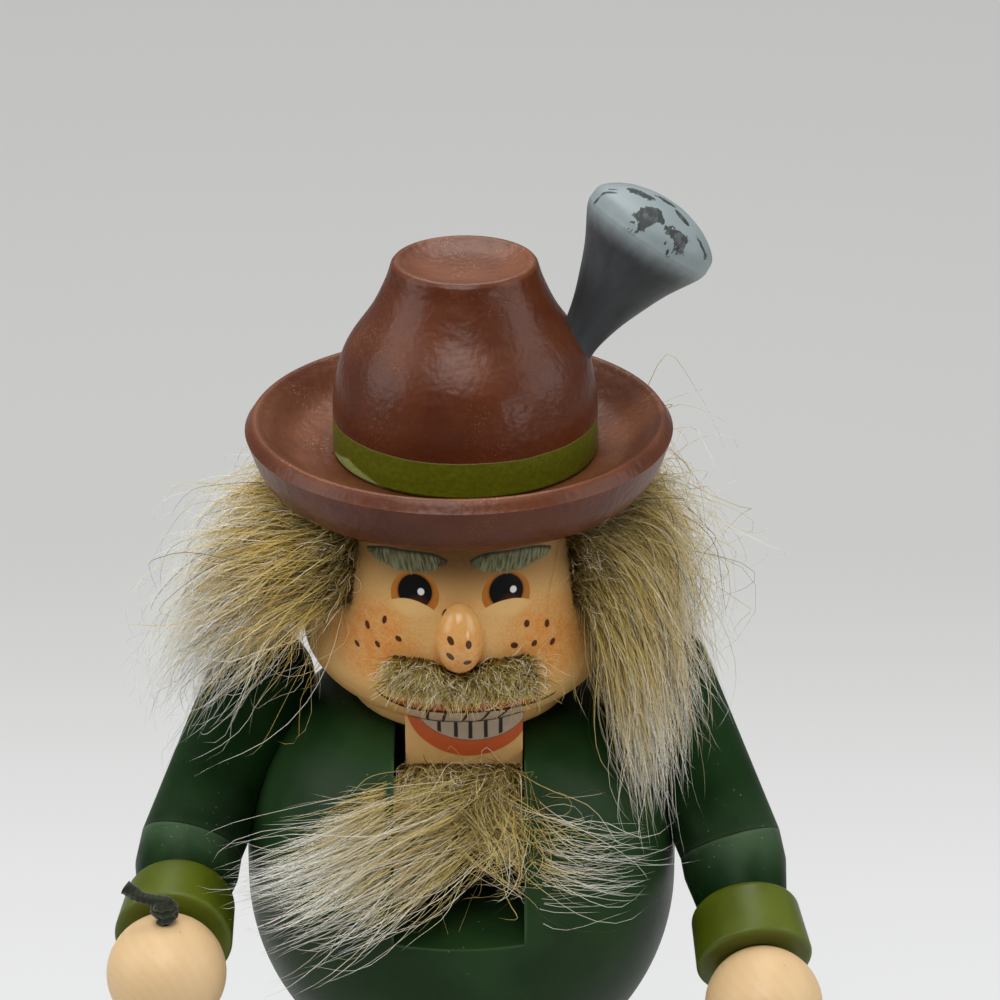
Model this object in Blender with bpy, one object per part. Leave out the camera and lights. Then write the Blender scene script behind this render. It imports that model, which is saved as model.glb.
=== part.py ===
"""Wooden nutcracker figure, a hunter with a round belly, a feathered hat and a fur beard.

Metres, +Z up. The figure faces -Y and stands on the middle of its base at the origin.
Its own right hand is on the -X side. The jaw lever swings on a pin that runs along X.
"""

from math import acos, atan2, cos, pi, radians, sin, sqrt, tan

import bmesh
import bpy
from mathutils import Matrix, Quaternion, Vector

# Clearances
GAP = 0.0003              # between two pieces that touch
PIN_PLAY = 0.00035        # around the jaw pin, which turns in the lever

# Base, boots and legs
BASE_RADIUS = 0.051
BASE_HEIGHT = 0.014
BASE_ROUNDING = 0.004
BOOT_HEIGHT = 0.030
BOOT_RADIUS = 0.0132
BOOT_TOP_RADIUS = 0.0158
FOOT_LENGTH = 0.034       # from the shaft's axis to the toe
FOOT_HALF_WIDTH = 0.0152
FOOT_HEIGHT = 0.0165
LEG_SPREAD = 0.0205       # from the figure's middle to each leg's axis
LEG_LENGTH = 0.028        # along the leg's axis, from the boot to the belly
LEG_RADIUS = 0.0142
LEG_DOWEL_RADIUS = 0.0025
LEG_DOWEL_DEPTH = 0.011   # into the belly, the leg and the base

# Round body with the slot for the jaw lever
BODY_RADIUS = 0.0505
BODY_UNDERSIDE_RADIUS = 0.016
BODY_TOP_HEIGHT = 0.0488  # from the widest ring to the flat under the head
BODY_CLOSING_RISE = 0.0052  # above that flat, where the shoulders' curve would close
BODY_TOP_POWER = 2.75     # how full the shoulders are
SLOT_WIDTH = 0.029
SLOT_FLOOR_HEIGHT = 0.0092  # above the body's widest ring

# Jaw lever and its pin
JAW_SIDE_PLAY = 0.0028    # all the free width of the lever in its slot
PIVOT_BACK = 0.006        # the pin lies behind the figure's middle
PIVOT_RISE = 0.0124       # above the slot's floor
PIN_RADIUS = 0.00275
PIN_SINK = 0.0022         # the pin's ends stay below the body's skin
JAW_REACH = 0.034         # from the pin to the chin's face
JAW_BLOCK_BACK = 0.002
CHIN_DROP = 0.007         # lower edge of the chin's face above the pin
HUB_RADIUS = 0.011
LEVER_ARM_TOP = 0.009
TAIL_CLEARANCE = 0.0015   # between the tail and the back of the belly
TAIL_THICKNESS = 0.0105
TAIL_DROP = 0.056         # from the pin to the tail's lower end
TAIL_FLARE = 0.004

# Head
HEAD_RADIUS = 0.0357
HEAD_HEIGHT = 0.053
HEAD_WIDEST = 0.0178      # height of the widest ring above the head's underside
HEAD_TOP_SEMI_AXIS = 0.075
HEAD_CHEEK_SEMI_AXIS = 0.0197
HEAD_FLAT_RADIUS = 0.023
NECK_DOWEL_SPREAD = 0.0188
NECK_DOWEL_RADIUS = 0.0022
NECK_DOWEL_DEPTH = 0.011
NOSE_HALF_WIDTH = 0.0051
NOSE_HALF_HEIGHT = 0.0080
NOSE_HALF_DEPTH = 0.0056
NOSE_HEIGHT = 0.0314      # above the head's underside
NOSE_SHIFT = 0.0004       # towards the figure's left
NOSE_OUT = 0.0022         # centre of the nose in front of the face
NOSE_SPIGOT_RADIUS = 0.002
NOSE_SPIGOT_DEPTH = 0.008

# Hat
BRIM_LIP_RADIUS = 0.0475
BRIM_UNDERSIDE_RADIUS = 0.0385
BRIM_FLOOR = 0.0069       # thickness of the saucer under the crown
BRIM_LIP_HEIGHT = 0.0147
BRIM_LIP_WIDTH = 0.0046
HAT_SHIFT = 0.0014        # the crown sits a little to the figure's left
CROWN_RADIUS = 0.0294
CROWN_HEIGHT = 0.0439
CROWN_TOP_RADIUS = 0.0160
CROWN_DISH_RADIUS = 0.0128
CROWN_DISH_DEPTH = 0.0022
CROWN_SIDE = (            # its waisted side, each point inside CROWN_RADIUS and below its top
    (0.0002, 0.0315), (0.0015, 0.0243), (0.0038, 0.0188), (0.0088, 0.0115), (0.0119, 0.0052))
HAT_DOWEL_RADIUS = 0.004
HAT_DOWEL_DEPTH = 0.014

# Turned hat brush
BRUSH_LENGTH = 0.0356
BRUSH_BASE_RADIUS = 0.0045
BRUSH_RADIUS = 0.0152
BRUSH_CONE = 0.0265       # length of the cone, where the dome starts
BRUSH_FOOT = (0.0040, 0.0005, 0.0181)   # inside CROWN_RADIUS, to the back, below the crown's top
BRUSH_DIRECTION = (0.546, 0.167, 0.821)
BRUSH_SPIGOT_RADIUS = 0.0025
BRUSH_SPIGOT_DEPTH = 0.009

# Arms, given for the figure's left and mirrored for its right
SHOULDER_SINK = 0.0049    # the shoulder's middle lies inside the belly's widest ring
SHOULDER_RISE = 0.0028    # and above the flat under the head
SHOULDER_BACK = 0.002
ELBOW_OUT = 0.0124        # outside the belly's widest ring
ELBOW_RISE = 0.0113       # above the belly's widest ring
ELBOW_FORWARD = 0.009
UPPER_ARM_RADIUS = 0.012
FOREARM_END_RADIUS = 0.0101    # in the cuff; at the elbow it is as thick as the upper arm
CUFF_LENGTH = 0.0148
CUFF_REAR_RADIUS = 0.0125
CUFF_RADIUS = 0.01325
CUFF_ROUNDING = 0.0025
HAND_RADIUS = 0.0132
HAND_SEAT = 0.0111        # from the cuff's face to the middle of the hand
LEFT_REACH = (0.0054, -0.0400, -0.0175)   # elbow to the middle of the left hand
RIGHT_REACH = (-0.0017, -0.0453, -0.0053)
SHOULDER_DOWEL_HEIGHT = 0.0315       # above the body's centre
SHOULDER_DOWEL_RADIUS = 0.0025
SHOULDER_DOWEL_DEPTH = 0.009
WRIST_DOWEL_RADIUS = 0.0022
WRIST_DOWEL_DEPTH = 0.007

# Cord through the right hand
CORD_RADIUS = 0.00115
CORD_DROP = 0.040         # free length under the hand
KNOT_RADIUS = 0.0029
TAIL_OF_CORD = 0.0098
CORD_SIDES_RESOLUTION = 2

# Fur
FUR_GAP = 0.0006          # the flat facets of the fur stay clear of the round head
HAIR_THICKNESS = 0.024
HAIR_BACK_THICKNESS = 0.013
HAIR_BOTTOM = 0.0165      # above the head's underside
HAIR_FRONT_ANGLE = 47
HAIR_SIDE_ANGLE = 124
HAIR_SPLIT = 3            # degrees between two lengths of the fur strip
MOUSTACHE_HALF_ANGLE = 32
MOUSTACHE_TURN = 2.3      # degrees towards the figure's left
MOUSTACHE_TOP = 0.0262    # above the head's underside
MOUSTACHE_BOTTOM = 0.0128
MOUSTACHE_THICKNESS = 0.0048
BEARD_CREST = 0.0045      # highest line of the beard, below the head's underside
BEARD_HALF_WIDTH = 0.033  # where it is widest
BEARD_NECK_HALF_WIDTH = 0.0155   # where it passes over the slot's edge
BEARD_HALF_THICKNESS = 0.0050
BEARD_TIP_HALF_THICKNESS = 0.002
BEARD_OUT = 0.0342        # from the chin's face to its tip
BEARD_ROOT_DROP = 0.0065  # from its crest to where it is glued on
BEARD_DROP = 0.0232       # from its crest to its tip
BEARD_ARCH = (            # its middle line, each point short of the tip and below the crest
    (0.0242, 0.0005), (0.0137, 0.0010), (0.0057, 0.0072), (0.0016, 0.0150))

# Facets
FINE, MEDIUM, COARSE, SMALL = 42, 34, 24, 12
ROD_TURN = 7              # degrees, so that a rod's facets miss the seams of what it enters

# Heights, stacked from the ground
boot_z = BASE_HEIGHT + GAP
leg_z = boot_z + BOOT_HEIGHT + GAP
body_z = leg_z + LEG_LENGTH + sqrt(BODY_RADIUS ** 2 - LEG_SPREAD ** 2)
slot_z = body_z + SLOT_FLOOR_HEIGHT
head_z = body_z + BODY_TOP_HEIGHT + GAP
brim_z = head_z + HEAD_HEIGHT + GAP
crown_z = brim_z + BRIM_FLOOR + GAP
body_centre = Vector((0, 0, body_z))
pivot = Vector((0, PIVOT_BACK, slot_z + PIVOT_RISE))
lever_width = SLOT_WIDTH - JAW_SIDE_PLAY
lever_x = JAW_SIDE_PLAY / 2 - GAP     # the lever lies against the slot's left wall
crown_foot = Vector((HAT_SHIFT, 0, crown_z))

for old in list(bpy.data.objects):
    bpy.data.objects.remove(old)


# Materials
def material(name, colour, roughness):
    made = bpy.data.materials.new(name)
    made.use_nodes = True
    shader = made.node_tree.nodes["Principled BSDF"]
    shader.inputs["Base Color"].default_value = (*colour, 1)
    shader.inputs["Roughness"].default_value = roughness
    shader.inputs["Metallic"].default_value = 0
    made.diffuse_color = (*colour, 1)
    return made


DARK_GREEN = material("dark_green_paint", (0.010, 0.048, 0.026), 0.42)
OLIVE = material("olive_paint", (0.085, 0.125, 0.012), 0.55)
HAT_BROWN = material("hat_brown_paint", (0.105, 0.022, 0.012), 0.40)
SLATE = material("slate_paint", (0.060, 0.075, 0.088), 0.45)
SKIN = material("skin_paint", (0.640, 0.330, 0.160), 0.45)
PALE_WOOD = material("pale_wood", (0.680, 0.420, 0.270), 0.50)
BARE_WOOD = material("bare_wood", (0.560, 0.380, 0.210), 0.70)
BLACK = material("black_paint", (0.012, 0.011, 0.010), 0.35)
FUR = material("fur", (0.300, 0.240, 0.130), 0.90)
CORD = material("cord", (0.012, 0.018, 0.014), 0.85)


# Building tools
def smooth_line(points, steps):
    """A smooth line through the points, with so many steps between each pair."""
    line = [Vector(points[0])]
    for i in range(len(points) - 1):
        b, c = Vector(points[i]), Vector(points[i + 1])
        a = Vector(points[i - 1]) if i else b * 2 - c
        d = Vector(points[i + 2]) if i + 2 < len(points) else c * 2 - b
        for k in range(1, steps + 1):
            t = k / steps
            line.append(0.5 * (2 * b + (c - a) * t + (2 * a - 5 * b + 4 * c - d) * t ** 2
                               + (3 * b - a - 3 * c + d) * t ** 3))
    return line


def arc(centre, radius, start, end, steps):
    """Points of an arc in the (radius, height) plane, angles in degrees."""
    turns = [radians(start + (end - start) * k / steps) for k in range(steps + 1)]
    return [(centre[0] + radius * cos(a), centre[1] + radius * sin(a)) for a in turns]


def new_object(name, mesh, finish):
    mesh.materials.append(finish)
    made = bpy.data.objects.new(name, mesh)
    bpy.context.scene.collection.objects.link(made)
    return made


def finish_mesh(name, bm, angle=40):
    """Closes and orients the mesh, and shades its round stretches smooth."""
    bmesh.ops.recalc_face_normals(bm, faces=bm.faces)
    mesh = bpy.data.meshes.new(name)
    bm.to_mesh(mesh)
    bm.free()
    mesh.shade_smooth()
    mesh.set_sharp_from_angle(angle=radians(angle))
    return mesh


def spin_profile(profile, segments):
    """A closed turned solid from (radius, height) points; the ends run to the axis."""
    bm = bmesh.new()
    points = [Vector((p[0], 0, p[1])) for p in profile]
    if points[0].x > 0:
        points.insert(0, Vector((0, 0, points[0].z)))
    if points[-1].x > 0:
        points.append(Vector((0, 0, points[-1].z)))
    verts = [bm.verts.new(p) for p in points]
    edges = [bm.edges.new(pair) for pair in zip(verts, verts[1:])]
    bmesh.ops.spin(bm, geom=verts + edges, cent=(0, 0, 0), axis=(0, 0, 1),
                   angle=2 * pi, steps=segments, use_merge=True)
    bmesh.ops.remove_doubles(bm, verts=bm.verts, dist=1e-6)
    return bm


def turned(name, profile, finish, segments=MEDIUM, foot=(0, 0, 0), along=(0, 0, 1)):
    """A turned piece that stands on foot with its axis along the given direction."""
    made = new_object(name, finish_mesh(name, spin_profile(profile, segments)), finish)
    made.location = foot
    made.rotation_euler = Vector(along).to_track_quat("Z", "Y").to_euler()
    return made


def rod(name, start, end, radius, finish, segments=SMALL):
    """A plain round rod between two points."""
    start, end = Vector(start), Vector(end)
    length = (end - start).length
    made = turned(name, [(radius, 0), (radius, length)], finish, segments, start, end - start)
    turn = Quaternion((0, 0, 1), radians(ROD_TURN))
    made.rotation_euler = (made.rotation_euler.to_quaternion() @ turn).to_euler()
    return made


def lofted(name, rings, finish, angle=60):
    """A solid skinned over closed rings that all have the same number of points."""
    bm = bmesh.new()
    loops = [[bm.verts.new(p) for p in ring] for ring in rings]
    count = len(loops[0])
    for near, far in zip(loops, loops[1:]):
        for i in range(count):
            j = (i + 1) % count
            bm.faces.new((near[i], near[j], far[j], far[i]))
    bm.faces.new(loops[0])
    bm.faces.new(loops[-1])
    return new_object(name, finish_mesh(name, bm, angle), finish)


def hide_tool(tool):
    tool.hide_render = True
    tool.display_type = "WIRE"
    return tool


def change(piece, tool, operation):
    step = piece.modifiers.new(operation.lower(), "BOOLEAN")
    step.operation = operation
    step.solver = "EXACT"
    step.object = hide_tool(tool)


def cut(piece, *tools):
    for tool in tools:
        change(piece, tool, "DIFFERENCE")


def fuse(piece, *tools):
    for tool in tools:
        change(piece, tool, "UNION")


def bore(start, end, radius, play=GAP):
    """The hole for a dowel: wider than the dowel and deeper than both its ends."""
    start, end = Vector(start), Vector(end)
    reach = (end - start).normalized() * play
    return rod("bore", start - reach, end + reach, radius + play, BARE_WOOD)


def trim(piece, point, normal):
    """Cuts off what lies past the plane and closes the face."""
    bm = bmesh.new()
    bm.from_mesh(piece.data)
    inverse = piece.matrix_basis.inverted()
    flat = bmesh.ops.bisect_plane(
        bm, geom=bm.verts[:] + bm.edges[:] + bm.faces[:], dist=1e-7, clear_outer=True,
        plane_co=inverse @ Vector(point), plane_no=inverse.to_3x3() @ Vector(normal))
    rim = [e for e in flat["geom_cut"] if isinstance(e, bmesh.types.BMEdge)]
    bmesh.ops.contextual_create(bm, geom=rim)
    bmesh.ops.recalc_face_normals(bm, faces=bm.faces)
    bm.to_mesh(piece.data)
    bm.free()
    piece.data.shade_smooth()
    piece.data.set_sharp_from_angle(angle=radians(40))


def mirrored(point, side):
    return Vector((point[0] * side, point[1], point[2]))


SIDES = (("left", 1), ("right", -1))


# Profiles that neighbours share
def body_radius(height):
    """Radius of the body at a height above its widest ring."""
    if height <= 0:
        return sqrt(max(0.0, BODY_RADIUS ** 2 - height ** 2))
    share = (height / (BODY_TOP_HEIGHT + BODY_CLOSING_RISE)) ** BODY_TOP_POWER
    return BODY_RADIUS * (1 - share) ** (1 / BODY_TOP_POWER)


def body_profile(extra=0.0):
    lowest = -sqrt(BODY_RADIUS ** 2 - BODY_UNDERSIDE_RADIUS ** 2)
    heights = [lowest * cos(radians(90 * k / 7)) for k in range(7)]
    heights += [BODY_TOP_HEIGHT * sin(radians(90 * k / 8)) for k in range(9)]
    points = [(body_radius(h) + extra, h) for h in heights]
    points[0] = (points[0][0], lowest - extra)
    points[-1] = (points[-1][0], BODY_TOP_HEIGHT + extra)
    return points


def head_radius(height):
    """Radius of the head at a height above its underside."""
    rise = height - HEAD_WIDEST
    semi_axis = HEAD_TOP_SEMI_AXIS if rise > 0 else HEAD_CHEEK_SEMI_AXIS
    return HEAD_RADIUS * sqrt(max(0.0, 1 - (rise / semi_axis) ** 2))


def head_profile(extra=0.0):
    edge = 0.0042
    heights = [edge + (HEAD_WIDEST - edge) * sin(radians(90 * k / 5)) for k in range(6)]
    heights += [HEAD_WIDEST + (HEAD_HEIGHT - HEAD_WIDEST) * k / 4 for k in range(1, 5)]
    rounding = smooth_line([(HEAD_FLAT_RADIUS, 0), (HEAD_FLAT_RADIUS + 0.0022, 0.0016),
                            (head_radius(edge), edge)], 2)[:-1]
    points = [(p[0] + extra, p[1]) for p in rounding]
    points += [(head_radius(h) + extra, h) for h in heights]
    points[0] = (points[0][0], -extra)
    points[-1] = (points[-1][0], HEAD_HEIGHT + extra)
    return points


def crown_profile(extra=0.0):
    rim = (CROWN_TOP_RADIUS + CROWN_DISH_RADIUS) / 2
    waist = [(CROWN_RADIUS - inside, CROWN_HEIGHT - below) for inside, below in CROWN_SIDE]
    side = smooth_line(waist + [(CROWN_TOP_RADIUS, CROWN_HEIGHT - 0.0008)], 2)
    top = [(rim, CROWN_HEIGHT), (CROWN_DISH_RADIUS, CROWN_HEIGHT - 0.0007),
           (CROWN_DISH_RADIUS * 0.72, CROWN_HEIGHT - CROWN_DISH_DEPTH * 0.84),
           (CROWN_DISH_RADIUS * 0.4, CROWN_HEIGHT - CROWN_DISH_DEPTH)]
    points = [(CROWN_RADIUS, 0)] + [(p[0], p[1]) for p in side] + top
    return [(p[0] + extra, p[1]) for p in points]


# Base
def build_base():
    rounding = arc((BASE_RADIUS - BASE_ROUNDING, BASE_HEIGHT - BASE_ROUNDING),
                   BASE_ROUNDING, 0, 90, 3)
    profile = [(BASE_RADIUS - 0.001, 0), (BASE_RADIUS, 0.001)] + rounding
    return turned("base", profile, BLACK, MEDIUM)


# Boots and legs
def build_boot(side, sign):
    profile = [(BOOT_RADIUS, 0), (BOOT_RADIUS, 0.006), (BOOT_RADIUS - 0.0006, 0.012),
               (BOOT_RADIUS, BOOT_HEIGHT * 0.68), (BOOT_TOP_RADIUS - 0.0008, BOOT_HEIGHT * 0.76)]
    profile += arc((BOOT_TOP_RADIUS - 0.0018, BOOT_HEIGHT - 0.0018), 0.0018, 0, 90, 3)
    at = (sign * LEG_SPREAD, 0, boot_z)
    boot = turned("boot_" + side, profile, BLACK, COARSE, at)
    bm = bmesh.new()
    bmesh.ops.create_uvsphere(bm, u_segments=18, v_segments=10, radius=1)
    shape = Matrix.Diagonal((FOOT_HALF_WIDTH, FOOT_LENGTH / 2 + 0.004, FOOT_HEIGHT, 1))
    bmesh.ops.transform(bm, matrix=shape, verts=bm.verts)
    foot = new_object("foot_form", finish_mesh("foot_form", bm), BLACK)
    foot.location = Vector(at) + Vector((0, 0.004 - FOOT_LENGTH / 2, 0.0018))
    trim(foot, at, (0, 0, -1))
    fuse(boot, foot)
    return boot


def build_leg(side, sign):
    top = body_z - sqrt(BODY_RADIUS ** 2 - (LEG_SPREAD + LEG_RADIUS) ** 2) + 0.002
    at = (sign * LEG_SPREAD, 0, leg_z)
    leg = turned("leg_" + side, [(LEG_RADIUS, 0), (LEG_RADIUS, top - leg_z)], DARK_GREEN, COARSE, at)
    cut(leg, belly_form())
    return leg


def belly_form():
    """The body's outside plus the gap, which scribes what is fitted against it."""
    return turned("belly_form", body_profile(GAP), BARE_WOOD, FINE, body_centre)


def foot_dowel_ends(sign):
    x = sign * LEG_SPREAD
    return (x, 0, BASE_HEIGHT - LEG_DOWEL_DEPTH), (x, 0, leg_z + LEG_DOWEL_DEPTH)


def hip_dowel_ends(sign):
    x, joint = sign * LEG_SPREAD, leg_z + LEG_LENGTH
    return (x, 0, joint - LEG_DOWEL_DEPTH), (x, 0, joint + LEG_DOWEL_DEPTH)


def seat_dowel(name, ends, radius, *pieces):
    """A dowel between two points, bored into the pieces that it joins."""
    rod(name, *ends, radius, BARE_WOOD)
    for piece in pieces:
        cut(piece, bore(*ends, radius))


# Body
def build_body():
    body = turned("body", body_profile(), DARK_GREEN, FINE, body_centre)
    bm = bmesh.new()
    bmesh.ops.create_cube(bm, size=1)
    height = BODY_TOP_HEIGHT - SLOT_FLOOR_HEIGHT + 0.01
    shape = Matrix.Diagonal((SLOT_WIDTH, BODY_RADIUS * 2 + 0.02, height, 1))
    bmesh.ops.transform(bm, matrix=shape, verts=bm.verts)
    slot = new_object("slot_form", finish_mesh("slot_form", bm), BARE_WOOD)
    slot.location = (0, 0, slot_z + height / 2)
    cut(body, slot)
    return body


def pin_ends():
    half = sqrt(body_radius(pivot.z - body_z) ** 2 - PIVOT_BACK ** 2)
    return pivot - Vector((half, 0, 0)), pivot + Vector((half, 0, 0))


# Jaw lever
def lever_outline():
    """Side view of the lever, (y, z) from the pin, from the chin's top round its back."""
    head_clear = head_z - GAP - pivot.z
    tail_in = body_radius(0) - PIVOT_BACK + TAIL_CLEARANCE
    tail_out = tail_in + TAIL_THICKNESS
    reach = sqrt(JAW_REACH ** 2 + CHIN_DROP ** 2)
    tangent = atan2(-CHIN_DROP, JAW_REACH) - acos(sqrt(1 - (HUB_RADIUS / reach) ** 2))
    points = [(-JAW_REACH, head_clear + 0.012), (-JAW_REACH, CHIN_DROP)]
    points += arc((0, 0), HUB_RADIUS, 270 + tangent * 180 / pi, 270, 4)
    points += [(tail_in - 0.003, -HUB_RADIUS)]
    points += arc((tail_in - 0.003, -HUB_RADIUS - 0.003), 0.003, 90, 0, 3)[1:]
    points += [(tail_in, -TAIL_DROP + 0.018), (tail_in + TAIL_FLARE * 0.3, -TAIL_DROP + 0.009)]
    tip = (tail_in + TAIL_FLARE + TAIL_THICKNESS / 2, -TAIL_DROP + TAIL_THICKNESS / 2)
    points += arc(tip, TAIL_THICKNESS / 2, 190, 350, 6)
    points += [(tail_out + TAIL_FLARE * 0.35, -TAIL_DROP + 0.016), (tail_out, -TAIL_DROP + 0.025)]
    points += [(tail_out, -0.006)]
    points += arc((tail_out - 0.011, LEVER_ARM_TOP - 0.011), 0.011, 20, 90, 4)
    points += [(0.016, LEVER_ARM_TOP)]
    points += arc((0.016, LEVER_ARM_TOP + 0.006), 0.006, 250, 200, 3)
    points += [(JAW_BLOCK_BACK + 0.001, head_clear - 0.004), (JAW_BLOCK_BACK, head_clear - 0.0012),
               (JAW_BLOCK_BACK - 0.003, head_clear), (JAW_BLOCK_BACK - 0.003, head_clear + 0.012)]
    return points


def extruded(name, outline, width, finish):
    """A flat outline in the (y, z) plane given a width along X."""
    bm = bmesh.new()
    face = bm.faces.new([bm.verts.new((-width / 2, y, z)) for y, z in outline])
    grown = bmesh.ops.extrude_face_region(bm, geom=[face])
    moved = [v for v in grown["geom"] if isinstance(v, bmesh.types.BMVert)]
    bmesh.ops.translate(bm, verts=moved, vec=(width, 0, 0))
    return new_object(name, finish_mesh(name, bm, 30), finish)


def build_lever(holder):
    lever = extruded("jaw_lever", lever_outline(), lever_width, SKIN)
    lever.parent = holder
    lever.location = (lever_x, 0, 0)
    head_form = turned("head_form", head_profile(GAP), BARE_WOOD, FINE, (0, 0, head_z))
    cut(lever, head_form)
    half = lever_width
    cut(lever, bore(pivot - Vector((half, 0, 0)), pivot + Vector((half, 0, 0)),
                    PIN_RADIUS, PIN_PLAY))
    return lever


# Head and nose
def face_y(height):
    return -head_radius(height)


def build_head():
    return turned("head", head_profile(), SKIN, FINE, (0, 0, head_z))


def nose_line():
    """Spigot of the nose, from its inner end to the middle of the nose."""
    surface = face_y(NOSE_HEIGHT)
    inner = Vector((NOSE_SHIFT, surface + NOSE_SPIGOT_DEPTH, head_z + NOSE_HEIGHT))
    return inner, Vector((NOSE_SHIFT, surface - NOSE_OUT, head_z + NOSE_HEIGHT))


def build_nose():
    inner, middle = nose_line()
    bm = bmesh.new()
    bmesh.ops.create_uvsphere(bm, u_segments=16, v_segments=12, radius=1)
    shape = Matrix.Diagonal((NOSE_HALF_WIDTH, NOSE_HALF_DEPTH, NOSE_HALF_HEIGHT, 1))
    bmesh.ops.transform(bm, matrix=shape, verts=bm.verts)
    nose = new_object("nose", finish_mesh("nose", bm), SKIN)
    nose.location = middle
    cut(nose, turned("face_form", head_profile(GAP), BARE_WOOD, FINE, (0, 0, head_z)))
    fuse(nose, rod("nose_spigot", inner, middle, NOSE_SPIGOT_RADIUS, SKIN, 12))
    return nose


# Hat
def build_brim():
    lip = BRIM_LIP_WIDTH / 2
    crest = BRIM_LIP_RADIUS - lip * 0.9
    side = smooth_line([
        (BRIM_UNDERSIDE_RADIUS, 0), (BRIM_UNDERSIDE_RADIUS + 0.0034, 0.0011),
        (BRIM_LIP_RADIUS - 0.0024, 0.0055), (BRIM_LIP_RADIUS, BRIM_LIP_HEIGHT - 0.0025)], 2)
    top = smooth_line([
        (BRIM_LIP_RADIUS, BRIM_LIP_HEIGHT - 0.0025), (crest, BRIM_LIP_HEIGHT),
        (BRIM_LIP_RADIUS - BRIM_LIP_WIDTH, BRIM_LIP_HEIGHT - 0.0014),
        (CROWN_RADIUS + 0.008, BRIM_FLOOR + 0.0022), (CROWN_RADIUS + 0.001, BRIM_FLOOR)], 2)
    profile = [(p[0], p[1]) for p in side + top[1:]]
    return turned("hat_brim", profile, HAT_BROWN, FINE, (0, 0, brim_z))


def build_crown():
    return turned("hat_crown", crown_profile(), HAT_BROWN, MEDIUM, crown_foot)


def brush_line():
    inside, back, below = BRUSH_FOOT
    foot = crown_foot + Vector((CROWN_RADIUS - inside, back, CROWN_HEIGHT - below))
    return foot, Vector(BRUSH_DIRECTION).normalized()


def build_brush():
    foot, along = brush_line()
    start = -0.006
    cone = [(BRUSH_BASE_RADIUS, start), (BRUSH_BASE_RADIUS, 0), (0.0060, 0.006), (0.0082, 0.012),
            (0.0108, 0.018), (0.0146, 0.0247), (BRUSH_RADIUS, BRUSH_CONE)]
    dome = smooth_line([(BRUSH_RADIUS, BRUSH_CONE), (BRUSH_RADIUS - 0.0007, BRUSH_CONE + 0.0036),
                        (BRUSH_RADIUS - 0.0050, BRUSH_LENGTH - 0.0023),
                        (BRUSH_RADIUS - 0.0104, BRUSH_LENGTH - 0.0005), (0, BRUSH_LENGTH)], 2)
    profile = cone + [(max(0.0, p[0]), p[1]) for p in dome[1:]]
    brush = turned("hat_brush", profile, SLATE, COARSE, foot, along)
    cut(brush, turned("crown_form", crown_profile(GAP), BARE_WOOD, MEDIUM, crown_foot))
    fuse(brush, rod("brush_spigot", foot - along * BRUSH_SPIGOT_DEPTH, foot + along * 0.006,
                    BRUSH_SPIGOT_RADIUS, SLATE, 12))
    return brush


# Arms
def arm_points(side, sign):
    shoulder = body_centre + mirrored(
        (BODY_RADIUS - SHOULDER_SINK, SHOULDER_BACK, BODY_TOP_HEIGHT + SHOULDER_RISE), sign)
    elbow = body_centre + mirrored((BODY_RADIUS + ELBOW_OUT, -ELBOW_FORWARD, ELBOW_RISE), sign)
    reach = LEFT_REACH if side == "left" else RIGHT_REACH
    return shoulder, elbow, elbow + Vector(reach)


def build_arm(side, sign):
    shoulder, elbow, hand = arm_points(side, sign)
    down = (elbow - shoulder).normalized()
    out = (hand - elbow).normalized()
    mitre = (down + out).normalized()
    slant = UPPER_ARM_RADIUS * tan(down.angle(out) / 2)     # how far the mitre runs along the arm
    past = slant + 0.002
    length = (elbow - shoulder).length
    round_end = [(UPPER_ARM_RADIUS * sin(radians(a)), -UPPER_ARM_RADIUS * 0.85 * cos(radians(a)))
                 for a in (0, 18, 36, 54, 72, 90)]
    upper = turned("upper_arm_" + side, round_end + [(UPPER_ARM_RADIUS, length + past)],
                   DARK_GREEN, COARSE, shoulder, down)
    trim(upper, elbow - mitre * GAP / 2, mitre)
    cut(upper, belly_form())
    cuff_start = (hand - elbow).length - HAND_SEAT - CUFF_LENGTH
    forearm = turned("forearm_" + side,
                     [(UPPER_ARM_RADIUS, -past), (UPPER_ARM_RADIUS, slant * 0.8),
                      (FOREARM_END_RADIUS, cuff_start - GAP)], DARK_GREEN, COARSE, elbow, out)
    trim(forearm, elbow + mitre * GAP / 2, -mitre)
    cuff = build_cuff(side, elbow + out * cuff_start, out)
    ball = [(HAND_RADIUS * sin(radians(a)), -HAND_RADIUS * cos(radians(a))) for a in range(0, 181, 18)]
    hand_ball = turned("hand_" + side, ball, PALE_WOOD, COARSE, hand, out)
    return upper, forearm, cuff, hand_ball


def build_cuff(side, foot, along):
    seat = HAND_RADIUS + GAP
    edge = sqrt(seat ** 2 - HAND_SEAT ** 2)
    dish = [(edge * k / 3, CUFF_LENGTH + HAND_SEAT - sqrt(seat ** 2 - (edge * k / 3) ** 2))
            for k in range(3, -1, -1)]
    profile = arc((CUFF_REAR_RADIUS - CUFF_ROUNDING, CUFF_ROUNDING), CUFF_ROUNDING, -90, 0, 2)
    profile += arc((CUFF_RADIUS - 0.0009, CUFF_LENGTH - 0.0009), 0.0009, 0, 90, 2)
    return turned("cuff_" + side, profile + dish, OLIVE, COARSE, foot, along)


def shoulder_dowel_ends(sign):
    surface = body_radius(SHOULDER_DOWEL_HEIGHT)
    at = body_centre + Vector((0, -0.002, SHOULDER_DOWEL_HEIGHT))
    return (at + Vector((sign * (surface - SHOULDER_DOWEL_DEPTH), 0, 0)),
            at + Vector((sign * (surface + SHOULDER_DOWEL_DEPTH), 0, 0)))


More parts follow.
